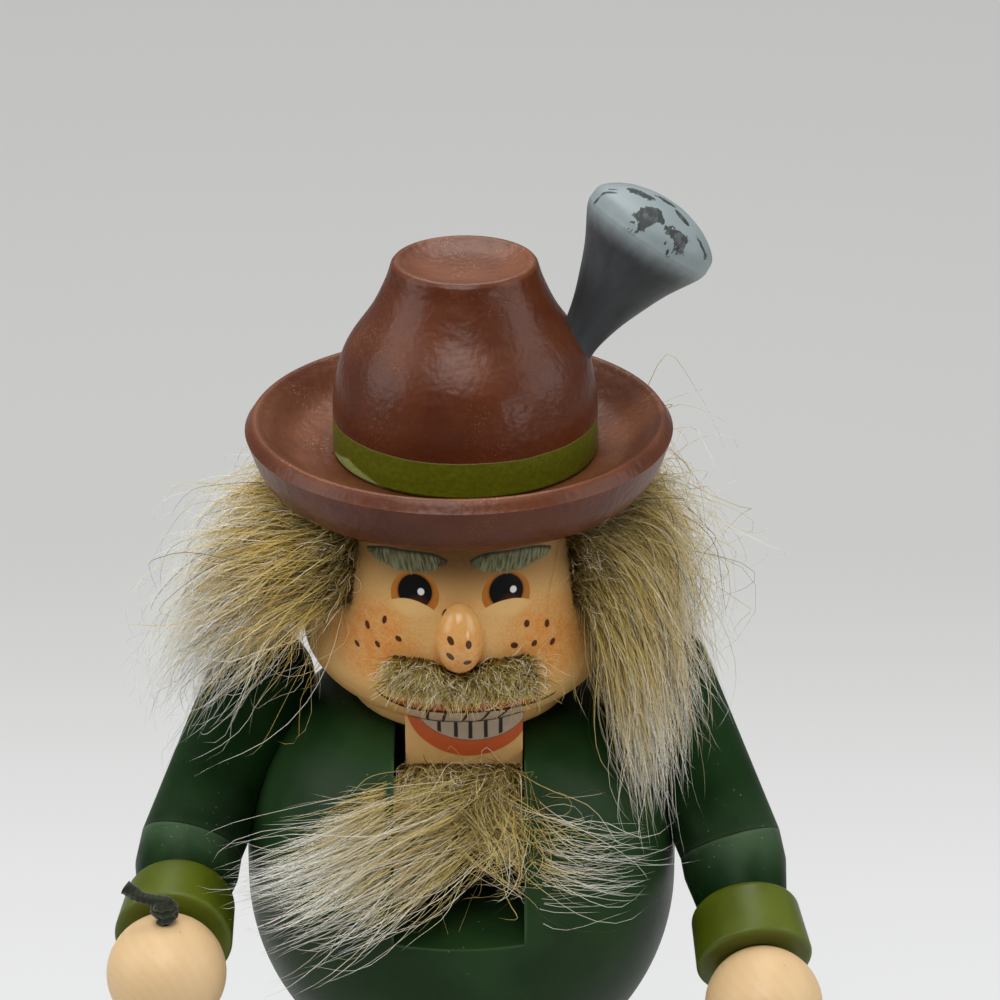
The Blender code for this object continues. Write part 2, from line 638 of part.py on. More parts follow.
def wrist_dowel_ends(side, sign):
    _, elbow, hand = arm_points(side, sign)
    out = (hand - elbow).normalized()
    cuff_start = elbow + out * ((hand - elbow).length - HAND_SEAT - CUFF_LENGTH)
    return cuff_start - out * WRIST_DOWEL_DEPTH, hand - out * (HAND_RADIUS - WRIST_DOWEL_DEPTH)


# Cord with its knots
def cord_tube(name, points):
    curve = bpy.data.curves.new(name, "CURVE")
    curve.dimensions = "3D"
    curve.bevel_depth = CORD_RADIUS
    curve.bevel_resolution = CORD_SIDES_RESOLUTION
    curve.use_fill_caps = True
    line = curve.splines.new("POLY")
    line.points.add(len(points) - 1)
    for spot, point in zip(line.points, points):
        spot.co = (*point, 1)
    curve.materials.append(CORD)
    made = bpy.data.objects.new(name, curve)
    bpy.context.scene.collection.objects.link(made)
    return made


def knot_ball(name, centre, squash=0.86):
    profile = [(KNOT_RADIUS * sin(radians(a)), -KNOT_RADIUS * squash * cos(radians(a)))
               for a in range(0, 181, 30)]
    return turned(name, profile, CORD, SMALL, centre)


def tube_form(points, radius, sides=8):
    """A round tube along the points, to fuse with a knot."""
    rings = []
    for i, point in enumerate(points):
        ahead = points[min(len(points) - 1, i + 1)] - points[max(0, i - 1)]
        turn = ahead.to_track_quat("Z", "Y")
        rings.append([point + turn @ Vector((radius * cos(2 * pi * k / sides),
                                             radius * sin(2 * pi * k / sides), 0))
                      for k in range(sides)])
    return lofted("tail_form", rings, CORD)


def build_cord(hand):
    """The cord runs down through the hand; a knot holds it on top and one ends it below."""
    top = hand + Vector((0, 0, HAND_RADIUS + GAP))
    stop = knot_ball("cord_stop_knot", top + Vector((0, 0, KNOT_RADIUS * 0.86)))
    tail = smooth_line([top + Vector((0, 0, 0.003)), top + Vector((-0.0026, -0.0004, 0.0042)),
                        top + Vector((-0.0058, 0.0012, 0.0052)),
                        top + Vector((-TAIL_OF_CORD + 0.001, 0.0026, 0.0073))], 2)
    fuse(stop, tube_form(tail, CORD_RADIUS))
    low = hand - Vector((0, 0, HAND_RADIUS + CORD_DROP))
    count = 26
    line = [top.lerp(low, k / (count - 1)) for k in range(count)]
    cord = cord_tube("hand_cord", line)
    end = knot_ball("cord_end_knot", low - Vector((0, 0, GAP + KNOT_RADIUS * 0.86)))
    return stop, cord, end


# Fur, as plain forms of its bulk
def polar(radius, angle, height):
    """A point round the head; angles in degrees from the face, towards the figure's left."""
    return Vector((radius * sin(radians(angle)), -radius * cos(radians(angle)), height))


def hair_ring(angle, bulk):
    """Outline of the hair at one angle, from under the brim out round its bulk."""
    top = HEAD_HEIGHT - FUR_GAP * 2
    shape = smooth_line([(0.04, 0), (0.45, 0.0008), (0.80, -0.0015), (1.0, -0.0125),
                         (0.98, -0.0235), (0.72, -0.0325), (0.30, HAIR_BOTTOM - top)], 2)
    outer = [polar(max(HEAD_RADIUS + share * bulk, head_radius(top + rise) + FUR_GAP * 2), angle,
                   head_z + min(top, top + rise)) for share, rise in shape]
    heights = [HAIR_BOTTOM + (top - HAIR_BOTTOM) * k / 4 for k in range(5)]
    return outer + [polar(head_radius(h) + FUR_GAP, angle, head_z + h) for h in heights]


def build_hair(name, start, end, thickness, steps=8):
    rings = []
    for k in range(steps + 1):
        share = k / steps
        bulk = thickness * (0.35 + 0.65 * sin(pi * share) ** 0.7)
        rings.append(hair_ring(start + (end - start) * share, bulk))
    return lofted(name, rings, FUR)


def build_moustache():
    rings = []
    for k in range(9):
        share = k / 8
        angle = MOUSTACHE_TURN + MOUSTACHE_HALF_ANGLE * (2 * share - 1)
        swell = 0.3 + 0.7 * sin(pi * share) ** 0.6
        middle = (MOUSTACHE_TOP + MOUSTACHE_BOTTOM) / 2 - 0.0012 * (1 - swell)
        half = (MOUSTACHE_TOP - MOUSTACHE_BOTTOM) / 2 * (0.45 + 0.55 * swell)
        ring = []
        for a in (90, 45, 15, -15, -45, -90):
            height = middle + half * sin(radians(a))
            out = FUR_GAP + MOUSTACHE_THICKNESS * swell * cos(radians(a)) + 0.0008
            ring.append(polar(head_radius(height) + out, angle, head_z + height))
        for a in (-90, 0, 90):
            height = middle + half * sin(radians(a))
            ring.append(polar(head_radius(height) + FUR_GAP, angle, head_z + height))
        rings.append(ring)
    moustache = lofted("moustache", rings, FUR)
    _, middle = nose_line()
    bm = bmesh.new()
    bmesh.ops.create_uvsphere(bm, u_segments=16, v_segments=12, radius=1)
    shape = Matrix.Diagonal((NOSE_HALF_WIDTH + GAP, NOSE_HALF_DEPTH + 0.002, NOSE_HALF_HEIGHT + GAP, 1))
    bmesh.ops.transform(bm, matrix=shape, verts=bm.verts)
    form = new_object("nose_form", finish_mesh("nose_form", bm), SKIN)
    form.location = middle
    cut(moustache, form)
    return moustache


def build_beard(holder):
    """A tuft on the chin that arches out and down, clear of the belly as the jaw swings."""
    root_y = -JAW_REACH - GAP
    crest_z = head_z - pivot.z - BEARD_CREST
    tip_y = root_y - BEARD_OUT
    middle = smooth_line([(root_y, crest_z - BEARD_ROOT_DROP)]
                         + [(tip_y + short, crest_z - below) for short, below in BEARD_ARCH]
                         + [(tip_y, crest_z - BEARD_DROP)], 2)
    half_width = lever_width / 2 - 0.0008
    width = smooth_line([(0, half_width), (0, half_width), (0, BEARD_NECK_HALF_WIDTH),
                         (0, BEARD_HALF_WIDTH), (0, BEARD_HALF_WIDTH * 0.85),
                         (0, BEARD_HALF_WIDTH * 0.25)], 2)
    count = len(middle)
    rings = []
    for i, spot in enumerate(middle):
        share = i / (count - 1)
        ahead = middle[min(count - 1, i + 1)] - middle[max(0, i - 1)]
        if i == 0:
            ahead = Vector((-1, 0))
        across = Vector((-ahead[1], ahead[0])).normalized()
        wide = width[i][1]
        thick = BEARD_HALF_THICKNESS + (BEARD_TIP_HALF_THICKNESS - BEARD_HALF_THICKNESS) * share ** 0.7
        ring = []
        for k in range(16):
            turn = 2 * pi * k / 16
            side = wide * cos(turn)
            depth = thick * sin(turn)
            ring.append(Vector((lever_x + side, spot[0] + across[0] * depth,
                                spot[1] + across[1] * depth)))
        rings.append(ring)
    beard = lofted("beard", rings, FUR)
    beard.parent = holder
    return beard


# Assembly
base = build_base()
body = build_body()
for side, sign in SIDES:
    boot, leg = build_boot(side, sign), build_leg(side, sign)
    seat_dowel("foot_dowel_" + side, foot_dowel_ends(sign), LEG_DOWEL_RADIUS, base, boot, leg)
    seat_dowel("hip_dowel_" + side, hip_dowel_ends(sign), LEG_DOWEL_RADIUS, leg, body)

jaw_pivot = bpy.data.objects.new("jaw_pivot", None)
jaw_pivot.location = pivot
bpy.context.scene.collection.objects.link(jaw_pivot)
lever = build_lever(jaw_pivot)
pin_start, pin_end = pin_ends()
sink = Vector((PIN_SINK, 0, 0))
rod("pivot_pin", pin_start + sink, pin_end - sink, PIN_RADIUS, BARE_WOOD)
cut(body, bore(pin_start - sink, pin_end + sink, PIN_RADIUS))

head = build_head()
for side, sign in SIDES:
    neck = ((sign * NECK_DOWEL_SPREAD, 0, head_z - GAP - NECK_DOWEL_DEPTH),
            (sign * NECK_DOWEL_SPREAD, 0, head_z + NECK_DOWEL_DEPTH))
    seat_dowel("neck_dowel_" + side, neck, NECK_DOWEL_RADIUS, body, head)
nose = build_nose()
cut(head, bore(*nose_line(), NOSE_SPIGOT_RADIUS))

brim, crown = build_brim(), build_crown()
hat_axis = (Vector((HAT_SHIFT, 0, brim_z - GAP - HAT_DOWEL_DEPTH)),
            Vector((HAT_SHIFT, 0, crown_z + HAT_DOWEL_DEPTH)))
seat_dowel("hat_dowel", hat_axis, HAT_DOWEL_RADIUS, head, brim, crown)
brush = build_brush()
brush_foot, brush_along = brush_line()
cut(crown, bore(brush_foot - brush_along * BRUSH_SPIGOT_DEPTH, brush_foot + brush_along * 0.006,
                BRUSH_SPIGOT_RADIUS))

for side, sign in SIDES:
    upper, forearm, cuff, hand_ball = build_arm(side, sign)
    seat_dowel("shoulder_dowel_" + side, shoulder_dowel_ends(sign), SHOULDER_DOWEL_RADIUS,
               body, upper)
    seat_dowel("wrist_dowel_" + side, wrist_dowel_ends(side, sign), WRIST_DOWEL_RADIUS,
               forearm, cuff, hand_ball)
    if side == "right":
        middle = hand_ball.location.copy()
        build_cord(middle)
        reach = Vector((0, 0, HAND_RADIUS + 0.002))
        cut(hand_ball, bore(middle - reach, middle + reach, CORD_RADIUS))

build_hair("hair_left", HAIR_FRONT_ANGLE, HAIR_SIDE_ANGLE, HAIR_THICKNESS)
build_hair("hair_right", -HAIR_SIDE_ANGLE, -HAIR_FRONT_ANGLE, HAIR_THICKNESS)
build_hair("hair_back", HAIR_SIDE_ANGLE + HAIR_SPLIT, 360 - HAIR_SIDE_ANGLE - HAIR_SPLIT,
           HAIR_BACK_THICKNESS, 11)
build_moustache()
build_beard(jaw_pivot)
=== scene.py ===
from math import acos, atan2, cos, hypot, pi, radians, sin, sqrt, tan

import bmesh
import bpy
import numpy as np
from mathutils import Matrix, Vector


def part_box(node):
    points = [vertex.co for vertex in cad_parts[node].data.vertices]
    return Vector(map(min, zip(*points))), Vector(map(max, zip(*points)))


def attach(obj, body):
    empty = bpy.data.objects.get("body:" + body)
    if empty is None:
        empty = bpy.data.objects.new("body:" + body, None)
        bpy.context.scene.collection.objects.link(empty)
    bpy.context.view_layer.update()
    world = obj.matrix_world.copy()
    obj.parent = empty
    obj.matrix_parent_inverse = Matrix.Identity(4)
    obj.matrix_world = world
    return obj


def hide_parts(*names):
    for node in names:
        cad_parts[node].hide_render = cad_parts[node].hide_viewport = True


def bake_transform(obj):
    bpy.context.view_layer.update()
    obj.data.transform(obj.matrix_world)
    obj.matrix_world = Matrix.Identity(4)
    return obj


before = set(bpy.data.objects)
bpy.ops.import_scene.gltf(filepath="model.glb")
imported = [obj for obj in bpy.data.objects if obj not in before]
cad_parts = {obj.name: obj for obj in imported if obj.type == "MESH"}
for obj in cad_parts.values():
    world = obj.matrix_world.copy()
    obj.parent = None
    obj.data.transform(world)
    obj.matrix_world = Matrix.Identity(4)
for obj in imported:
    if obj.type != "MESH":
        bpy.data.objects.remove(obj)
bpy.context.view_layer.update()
bpy.context.scene.view_settings.view_transform = "Standard"

# Camera. It stands in front of the figure and a hand's breadth above its hat, and looks down at
# the face; the picture ends just under the hands.
lip_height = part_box("hat_brim")[0].z + 0.0132
camera = bpy.data.objects.new("camera", bpy.data.cameras.new("camera"))
camera.data.lens = 110.2
camera.data.sensor_width = 36
camera.location = (0.0091, -0.6236, lip_height + 0.2711)
camera.rotation_euler = (radians(65), 0, 0)
bpy.context.scene.collection.objects.link(camera)
bpy.context.scene.camera = camera

# Light. Wide soft lamps hang high before and behind the figure, with a weaker one at each side. A
# small window gives the sharp glint on the nose, and the pale room gives the rest.
for name, place, aim, wide, power in (
        ("front_lamp", (-0.10, -0.58, 1.16), (0, 0, 0.18), 0.80, 8.0),
        ("back_lamp", (-0.05, 0.45, 1.15), (0, 0, 0.18), 0.90, 8.0),
        ("left_lamp", (0.93, -0.16, 0.62), (0, 0, 0.18), 0.80, 3.4),
        ("right_lamp", (-0.93, -0.16, 0.62), (0, 0, 0.18), 0.80, 4.0),
        ("window_lamp", (0.66, -0.63, 0.315), (0, 0, 0.205), 0.15, 0.7)):
    lamp = bpy.data.lights.new(name, "AREA")
    lamp.shape, lamp.size, lamp.energy = "DISK", wide, power
    holder = bpy.data.objects.new(name, lamp)
    holder.location = place
    holder.rotation_euler = (Vector(place) - Vector(aim)).to_track_quat("Z", "Y").to_euler()
    bpy.context.scene.collection.objects.link(holder)
room = bpy.data.worlds.new("room")
room.use_nodes = True
room.node_tree.nodes["Background"].inputs["Color"].default_value = (0.95, 0.97, 1.0, 1)
ray = room.node_tree.nodes.new("ShaderNodeLightPath")
glow = room.node_tree.nodes.new("ShaderNodeMath")
glow.operation = "MULTIPLY_ADD"
glow.inputs[1].default_value, glow.inputs[2].default_value = 0.16, 0.07
room.node_tree.links.new(ray.outputs["Is Glossy Ray"], glow.inputs[0])
room.node_tree.links.new(glow.outputs[0], room.node_tree.nodes["Background"].inputs["Strength"])
bpy.context.scene.world = room


# Table top. A sheet of pale grey paper, wider than any view of the figure. Seen by the camera it
# glows with painted light that darkens a little towards its far side; other rays see the paper lit
# by the lamps.
class Wire:
    """A shader socket that can be summed, multiplied and compared in plain expressions."""

    def __init__(self, finish, socket):
        self.finish, self.socket = finish, socket

    def sums(self, operation, *others, clamp=False):
        return self.finish.add("Math", {"operation": operation, "use_clamp": clamp},
                               dict(enumerate((self, *others))))

    def __add__(self, other):
        return self.sums("ADD", other)

    def __sub__(self, other):
        return self.sums("SUBTRACT", other)

    def __rsub__(self, other):
        return self.finish.add("Math", {"operation": "SUBTRACT"}, {0: other, 1: self})

    def __mul__(self, other):
        return self.sums("MULTIPLY", other)

    def __truediv__(self, other):
        return self.sums("DIVIDE", other)

    def __pow__(self, other):
        return self.sums("POWER", other)

    def __abs__(self):
        return self.sums("ABSOLUTE")

    __radd__, __rmul__ = __add__, __mul__

    def most(self, other):
        return self.sums("MAXIMUM", other)

    def between(self, start, end):
        """0 at start and 1 at end, with a soft step from one to the other."""
        return self.finish.add("MapRange", {"interpolation_type": "SMOOTHSTEP"},
                               {"Value": self, "From Min": start, "From Max": end})


class Finish:
    """A paint, wood, fur or cord finish, put together from shader nodes."""

    def __init__(self, name, shine=0.5, **fixed):
        self.material = bpy.data.materials.new(name)
        self.material.use_nodes = True
        self.nodes, self.links = self.material.node_tree.nodes, self.material.node_tree.links
        self.shader, self.spot = self.nodes["Principled BSDF"], None
        self.shader.inputs["Specular IOR Level"].default_value = shine
        for socket, value in fixed.items():
            self.shader.inputs[socket.replace("_", " ")].default_value = value

    def feed(self, socket, value):
        if isinstance(value, Wire):
            self.links.new(value.socket, socket)
        else:
            socket.default_value = value

    def add(self, kind, settings=(), sockets=(), output=0):
        """Any node: its type, then its settings, then the values or wires of its sockets."""
        node = self.nodes.new("ShaderNode" + kind)
        for key, value in dict(settings).items():
            if key == "stops":
                while len(node.color_ramp.elements) < len(value):
                    node.color_ramp.elements.new(0.5)
                for stop, (at, colour) in zip(node.color_ramp.elements, value):
                    stop.position, stop.color = at, colour
            else:
                setattr(node, key, value)
        for key, value in dict(sockets).items():
            self.feed(node.inputs[key], value)
        return Wire(self, node.outputs[output])

    def place(self):
        """The point on the piece, from the piece's own origin, in metres."""
        if not self.spot:
            self.spot = self.add("TexCoord", output="Object")
        return self.spot

    def axes(self):
        """The same point as three numbers, in millimetres."""
        split = self.add("SeparateXYZ", {}, {0: self.place()}).socket.node
        return [Wire(self, socket) * 1000 for socket in split.outputs]

    def grain(self, size, detail=2.0, stretch=(1, 1, 1)):
        """Soft noise from 0 to 1 with lumps of about this size in metres."""
        at = self.place()
        if stretch != (1, 1, 1):
            at = self.add("VectorMath", {"operation": "MULTIPLY"}, {0: at, 1: stretch})
        return self.add("TexNoise", {}, {"Vector": at, "Scale": 0.5 / size, "Detail": detail})

    def spots(self, scale):
        """How far the nearest of many scattered points is; scale is how many lie along a metre."""
        return self.add("TexVoronoi", {}, {"Vector": self.place(), "Scale": scale})

    def mix(self, share, first, second):
        return self.add("Mix", {"data_type": "RGBA"}, {0: share, 6: first, 7: second}, 2)

    def done(self, colour, roughness, height=None, depth=0.0001):
        self.feed(self.shader.inputs["Base Color"], colour)
        self.feed(self.shader.inputs["Roughness"], roughness)
        if height is not None:
            bump = self.add("Bump", {}, {"Height": height, "Distance": depth})
            self.feed(self.shader.inputs["Normal"], bump)
        return self.material


def tint(red, green, blue):
    """A colour as it is read off a screen, from 0 to 255, turned to what a shader takes."""
    levels = [c / 255 for c in (red, green, blue)]
    return tuple(c / 12.92 if c < 0.04045 else ((c + 0.055) / 1.055) ** 2.4 for c in levels) + (1,)


paper = Finish("pale_paper", shine=0.2, Emission_Strength=1.0)
depth_in = paper.axes()[1] / 1000
fibre = paper.grain(0.004, 3)
table_mesh = bpy.data.meshes.new("table_top")
table_mesh.from_pydata([(-3, -3, 0), (3, -3, 0), (3, 3, 0), (-3, 3, 0)], [], [(0, 1, 2, 3)])
seen = paper.add("LightPath", output=0) * 0.85
# Painted light: the glow the camera sees, bright near the figure and darker far off.
painted_falloff = paper.mix(depth_in.between(0.07, 0.44), tint(236, 237, 237), tint(200, 201, 198))
painted_falloff = paper.mix(depth_in.between(0.5, 1.2), painted_falloff, tint(199, 200, 197))
paper.feed(paper.shader.inputs["Emission Color"], paper.mix(seen, (0, 0, 0, 1), painted_falloff))
lit = paper.mix(seen, tint(206, 206, 205), (0, 0, 0, 1))
table_mesh.materials.append(paper.done(lit, 0.9, fibre, 0.00002))
table = bpy.data.objects.new("table_top", table_mesh)
bpy.context.scene.collection.objects.link(table)


# Base. A turned disc of beech under black satin lacquer, with a softly rounded upper edge; both
# boots are pegged into it.
def faired(points, steps):
    """A smooth line through the points, with so many steps between each pair."""
    points = [np.array(p, float) for p in points]
    ends = [2 * points[0] - points[1], *points, 2 * points[-1] - points[-2]]
    line = [points[0]]
    for a, b, c, d in zip(ends, ends[1:], ends[2:], ends[3:]):
        for t in (k / steps for k in range(1, steps + 1)):
            line.append(0.5 * (2 * b + (c - a) * t + (2 * a - 5 * b + 4 * c - d) * t ** 2
                               + (3 * b - a - 3 * c + d) * t ** 3))
    return line


def rounding(centre, radius, start, end, steps=6):
    """Points of an arc in the (radius, height) plane, angles in degrees."""
    turns = [radians(start + (end - start) * k / steps) for k in range(steps + 1)]
    return [(centre[0] + radius * cos(a), centre[1] + radius * sin(a)) for a in turns]


def new_piece(name, bm, crease=32):
    bmesh.ops.recalc_face_normals(bm, faces=bm.faces)
    mesh = bpy.data.meshes.new(name)
    bm.to_mesh(mesh)
    bm.free()
    mesh.shade_smooth()
    mesh.set_sharp_from_angle(angle=radians(crease))
    piece = bpy.data.objects.new(name, mesh)
    bpy.context.scene.collection.objects.link(piece)
    return piece


def turned(name, profile, foot=(0, 0, 0), along=(0, 0, 1), sides=144, crease=32):
    """A piece off the lathe: a (radius, height) profile spun about its axis."""
    bm = bmesh.new()
    points = [(max(0.0, float(p[0])), 0, float(p[1])) for p in profile]
    if points[0][0] > 0:
        points.insert(0, (0, 0, points[0][2]))
    if points[-1][0] > 0:
        points.append((0, 0, points[-1][2]))
    verts = [bm.verts.new(p) for p in points]
    edges = [bm.edges.new(pair) for pair in zip(verts, verts[1:])]
    bmesh.ops.spin(bm, geom=verts + edges, cent=(0, 0, 0), axis=(0, 0, 1), angle=2 * pi,
                   steps=sides, use_merge=True)
    bmesh.ops.remove_doubles(bm, verts=bm.verts, dist=1e-6)
    piece = new_piece(name, bm, crease)
    piece.location = foot
    piece.rotation_euler = Vector((0, 0, 1)).rotation_difference(Vector(along)).to_euler()
    return piece


def settled(piece):
    """Applies the modifiers, and leaves a plain mesh."""
    bpy.context.view_layer.update()
    shape = bpy.data.meshes.new_from_object(
        piece.evaluated_get(bpy.context.evaluated_depsgraph_get()))
    piece.modifiers.clear()
    piece.data = shape
    return piece


def fit(piece, material, slot, *nodes, body="figure"):
    """Gives a piece its finish, and its place on the figure."""
    piece.data.materials.clear()
    piece.data.materials.append(material)
    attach(piece, body)
    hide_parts(*nodes)
    return piece


def lacquer(name, deep, light, roughness, dust=0.35, shine=0.5):
    """Satin paint on turned wood: faint cloudiness, a fine brushed skin and a few specks."""
    paint = Finish(name, shine=shine)
    clouds = paint.grain(0.011, 3).between(0.34, 0.68)
    fine = paint.grain(0.0009, 2)
    specks = paint.spots(420.0)
    specks = specks.between(0.10, 0.04) * paint.grain(0.006, 1).between(0.56, 0.66)
    colour = paint.mix(clouds * 0.8 + fine * 0.2, deep, light)
    colour = paint.mix(specks * dust, colour, tint(150, 150, 132))
    return paint.done(colour, roughness + (clouds - 0.5) * 0.10 + fine * 0.06 + specks * 0.2,
                      fine + clouds * 0.6, 0.00003)


black_lacquer = lacquer("black_lacquer", tint(18, 17, 16), tint(31, 29, 27), 0.30)
low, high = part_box("base")
base_radius, base_top = high.x, high.z
upper_edge, lower_edge = 0.004, 0.0008
base = turned("turned_base", [(base_radius - 0.0022, 0), (base_radius - 0.0005, 0.0002)]
              + rounding((base_radius - lower_edge, 0.001), lower_edge, -60, 0, 4)
              + rounding((base_radius - upper_edge, base_top - upper_edge), upper_edge, 0, 90, 10)
              + [(base_radius - 0.012, base_top)])
fit(base, black_lacquer, "black_paint", "base")

# Boots and legs. Each boot is a turned shaft glued to a carved foot and painted black, with a
# rolled top; the legs are plain green dowels that are scribed to the belly above.
belly_low, belly_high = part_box("body")
belly_radius = belly_high.x
belly_flat = 0.016
belly_z = belly_low.z + sqrt(belly_radius ** 2 - belly_flat ** 2)
coat_green = lacquer("coat_green_paint", tint(14, 36, 14), tint(27, 52, 25), 0.38,
                     dust=0.30, shine=0.4)
fitting_gap = 0.0003
foot_half_width, foot_half_length, foot_half_height = 0.0150, 0.0208, 0.0163
leg_sides = 96


def banded(bm, rings):
    """Joins each ring of points to the next with a band of faces."""
    for near, far in zip(rings, rings[1:]):
        for k, point in enumerate(near):
            after = (k + 1) % len(near)
            bm.faces.new((point, near[after], far[after], far[k]))


for side in ("left", "right"):
    low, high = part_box("boot_" + side)
    shaft_x, tall = (low.x + high.x) / 2, high.z - low.z
    upper, ankle = 0.0158, 0.0132
    shaft = turned("boot_shaft_" + side, [
        (ankle - 0.001, 0.002), (ankle - 0.0006, 0.012), (ankle, tall * 0.68),
        (upper - 0.0014, tall * 0.74), (upper - 0.0006, tall * 0.78)]
        + rounding((upper - 0.0016, tall - 0.0016), 0.0016, 0, 90, 6)
        + [(upper - 0.006, tall)], (shaft_x, 0, low.z), sides=96)
    bm = bmesh.new()
    bmesh.ops.create_uvsphere(bm, u_segments=72, v_segments=48, radius=1)
    for v in bm.verts:
        toe = max(0.0, -v.co.y)
        v.co.x *= foot_half_width * (1 - 0.12 * (1 - toe))
        v.co.y = v.co.y * foot_half_length + 0.0035 - 0.017
        v.co.z = max(v.co.z * foot_half_height * (1 - 0.18 * toe) + 0.0018, 0.0)
    foot = new_piece("boot_foot_" + side, bm, 60)
    foot.location = (shaft_x, 0, low.z)
    for part in (shaft, foot):
        part.data.transform(Matrix.Translation(part.location))
        part.location = (0, 0, 0)
    bpy.context.view_layer.update()
    join = shaft.modifiers.new("foot", "BOOLEAN")
    join.operation, join.object = "UNION", foot
    blend_in = shaft.modifiers.new("blend", "REMESH")
    blend_in.mode, blend_in.voxel_size, blend_in.use_smooth_shade = "VOXEL", 0.00055, True
    even = shaft.modifiers.new("even", "SMOOTH")
    even.factor, even.iterations = 0.6, 6
    boot = settled(shaft)
    boot.name = "painted_boot_" + side
    bpy.data.objects.remove(foot)
    fit(boot, black_lacquer, "black_paint", "boot_" + side)

    low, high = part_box("leg_" + side)
    leg_x, leg_radius = (low.x + high.x) / 2, (high.x - low.x) / 2
    bm = bmesh.new()
    rings = []
    for level in range(3):
        ring = []
        for k in range(leg_sides):
            x = leg_x + leg_radius * cos(2 * pi * k / leg_sides)
            y = leg_radius * sin(2 * pi * k / leg_sides)
            scribed = belly_z - sqrt(belly_radius ** 2 - x * x - y * y) - fitting_gap
            z = (low.z, low.z + 0.012, scribed)[level]
            ring.append(bm.verts.new((x, y, z)))
        rings.append(ring)
    banded(bm, rings)
    top = belly_z - sqrt(belly_radius ** 2 - leg_x ** 2) - fitting_gap
    middle = bm.verts.new((leg_x, 0, top))
    for k in range(leg_sides):
        bm.faces.new((rings[-1][k], rings[-1][(k + 1) % leg_sides], middle))
    bm.faces.new(rings[0])
    fit(new_piece("painted_leg_" + side, bm), coat_green, "dark_green_paint", "leg_" + side)

# Body. A round belly turned from one block, with a straight slot sawn through it from front to
# back for the jaw lever, all in dark green satin paint. A paler line on the slot's sharp edges is
# painted highlight, and the slot's walls are painted almost black as painted shade.
shoulder_height = belly_high.z - belly_z
shoulder_curve, fullness = shoulder_height + 0.0052, 2.75
slot_floor = belly_z + 0.0092
slot_width = 0.029


def belly_at(height):
    """Radius of the belly at a height, or at each of many heights, above its widest ring."""
    share = np.clip(height / shoulder_curve, 0, 1) ** fullness
    return np.where(height < 0, np.sqrt(np.clip(belly_radius ** 2 - height ** 2, 0, None)),
                    belly_radius * (1 - share) ** (1 / fullness))


heights = [(belly_low.z - belly_z) * cos(radians(90 * k / 44)) for k in range(44)]
heights += [shoulder_height * sin(radians(90 * k / 44)) for k in range(45)]
profile = [(belly_at(h), h) for h in heights]
bend_start, corner = shoulder_height - 0.0036, profile[-1][0]
profile = [p for p in profile if p[1] < bend_start]
for t in (k / 8 for k in range(9)):
    profile.append(((1 - t) ** 2 * belly_at(bend_start) + 2 * t * (1 - t) * corner
                    + t * t * (corner - 0.006),
                    (1 - t) ** 2 * bend_start + (1 - (1 - t) ** 2) * shoulder_height))
belly = turned("turned_belly", profile, (0, 0, belly_z), sides=216)
bm = bmesh.new()
bmesh.ops.create_cube(bm, size=1)
bmesh.ops.transform(bm, matrix=Matrix.Diagonal((slot_width, 0.13, 0.06, 1)), verts=bm.verts)
saw = new_piece("slot_saw", bm)
saw.location = (0, 0, slot_floor + 0.03)
bpy.context.view_layer.update()
sawing = belly.modifiers.new("slot", "BOOLEAN")
sawing.operation, sawing.object = "DIFFERENCE", saw
settled(belly)
bpy.data.objects.remove(saw)
belly.data.set_sharp_from_angle(angle=radians(32))

paint = Finish("belly_green_paint", shine=0.13)
x, y, z = paint.axes()
clouds = paint.grain(0.013, 3).between(0.34, 0.68)
fine = paint.grain(0.0009, 2)
radius = (x * x + y * y) ** 0.5
share = (z.most(0) * (0.001 / shoulder_curve)) ** fullness
skin_depth = ((1 - share) ** (1 / fullness) * (belly_radius * 1000) - radius).most(0)
wobble = (paint.grain(0.0022, 2) - 0.5) * 0.7
wall_mm, floor_mm = slot_width * 500, (slot_floor - belly_z) * 1000
by_wall = (abs(abs(x) - wall_mm) + wobble).between(0.75, 0.15)
by_floor = (abs(z - floor_mm) + wobble).between(0.55, 0.10)
over_floor = z.between(floor_mm - 0.1, floor_mm + 0.7)
in_slot = abs(x).between(wall_mm + 0.4, wall_mm - 0.1)
# Painted highlight: a paler line along the slot's sharp edges, for the light they catch.
edge = (by_wall * over_floor).most(by_floor * in_slot) * skin_depth.between(0.7, 0.1)
specks = paint.spots(300.0)
specks = specks.between(0.09, 0.04) * paint.grain(0.008, 1).between(0.55, 0.66)
colour = paint.mix(clouds * 0.8 + fine * 0.2, tint(22, 45, 18), tint(36, 63, 31))
# Painted shade: the slot's walls, above its floor, are painted almost black for the shadow in the
# slot.
colour = paint.mix(in_slot * over_floor * 0.97, colour, tint(2, 3, 2))
colour = paint.mix(edge * 0.45, colour, tint(72, 96, 62))
colour = paint.mix(specks * 0.4, colour, tint(150, 150, 132))
rough = 0.37 + (clouds - 0.5) * 0.10 + fine * 0.08 + in_slot * over_floor * 0.5
fit(belly, paint.done(colour, rough, fine + clouds * 0.6, 0.00003),
    "dark_green_paint", "body")

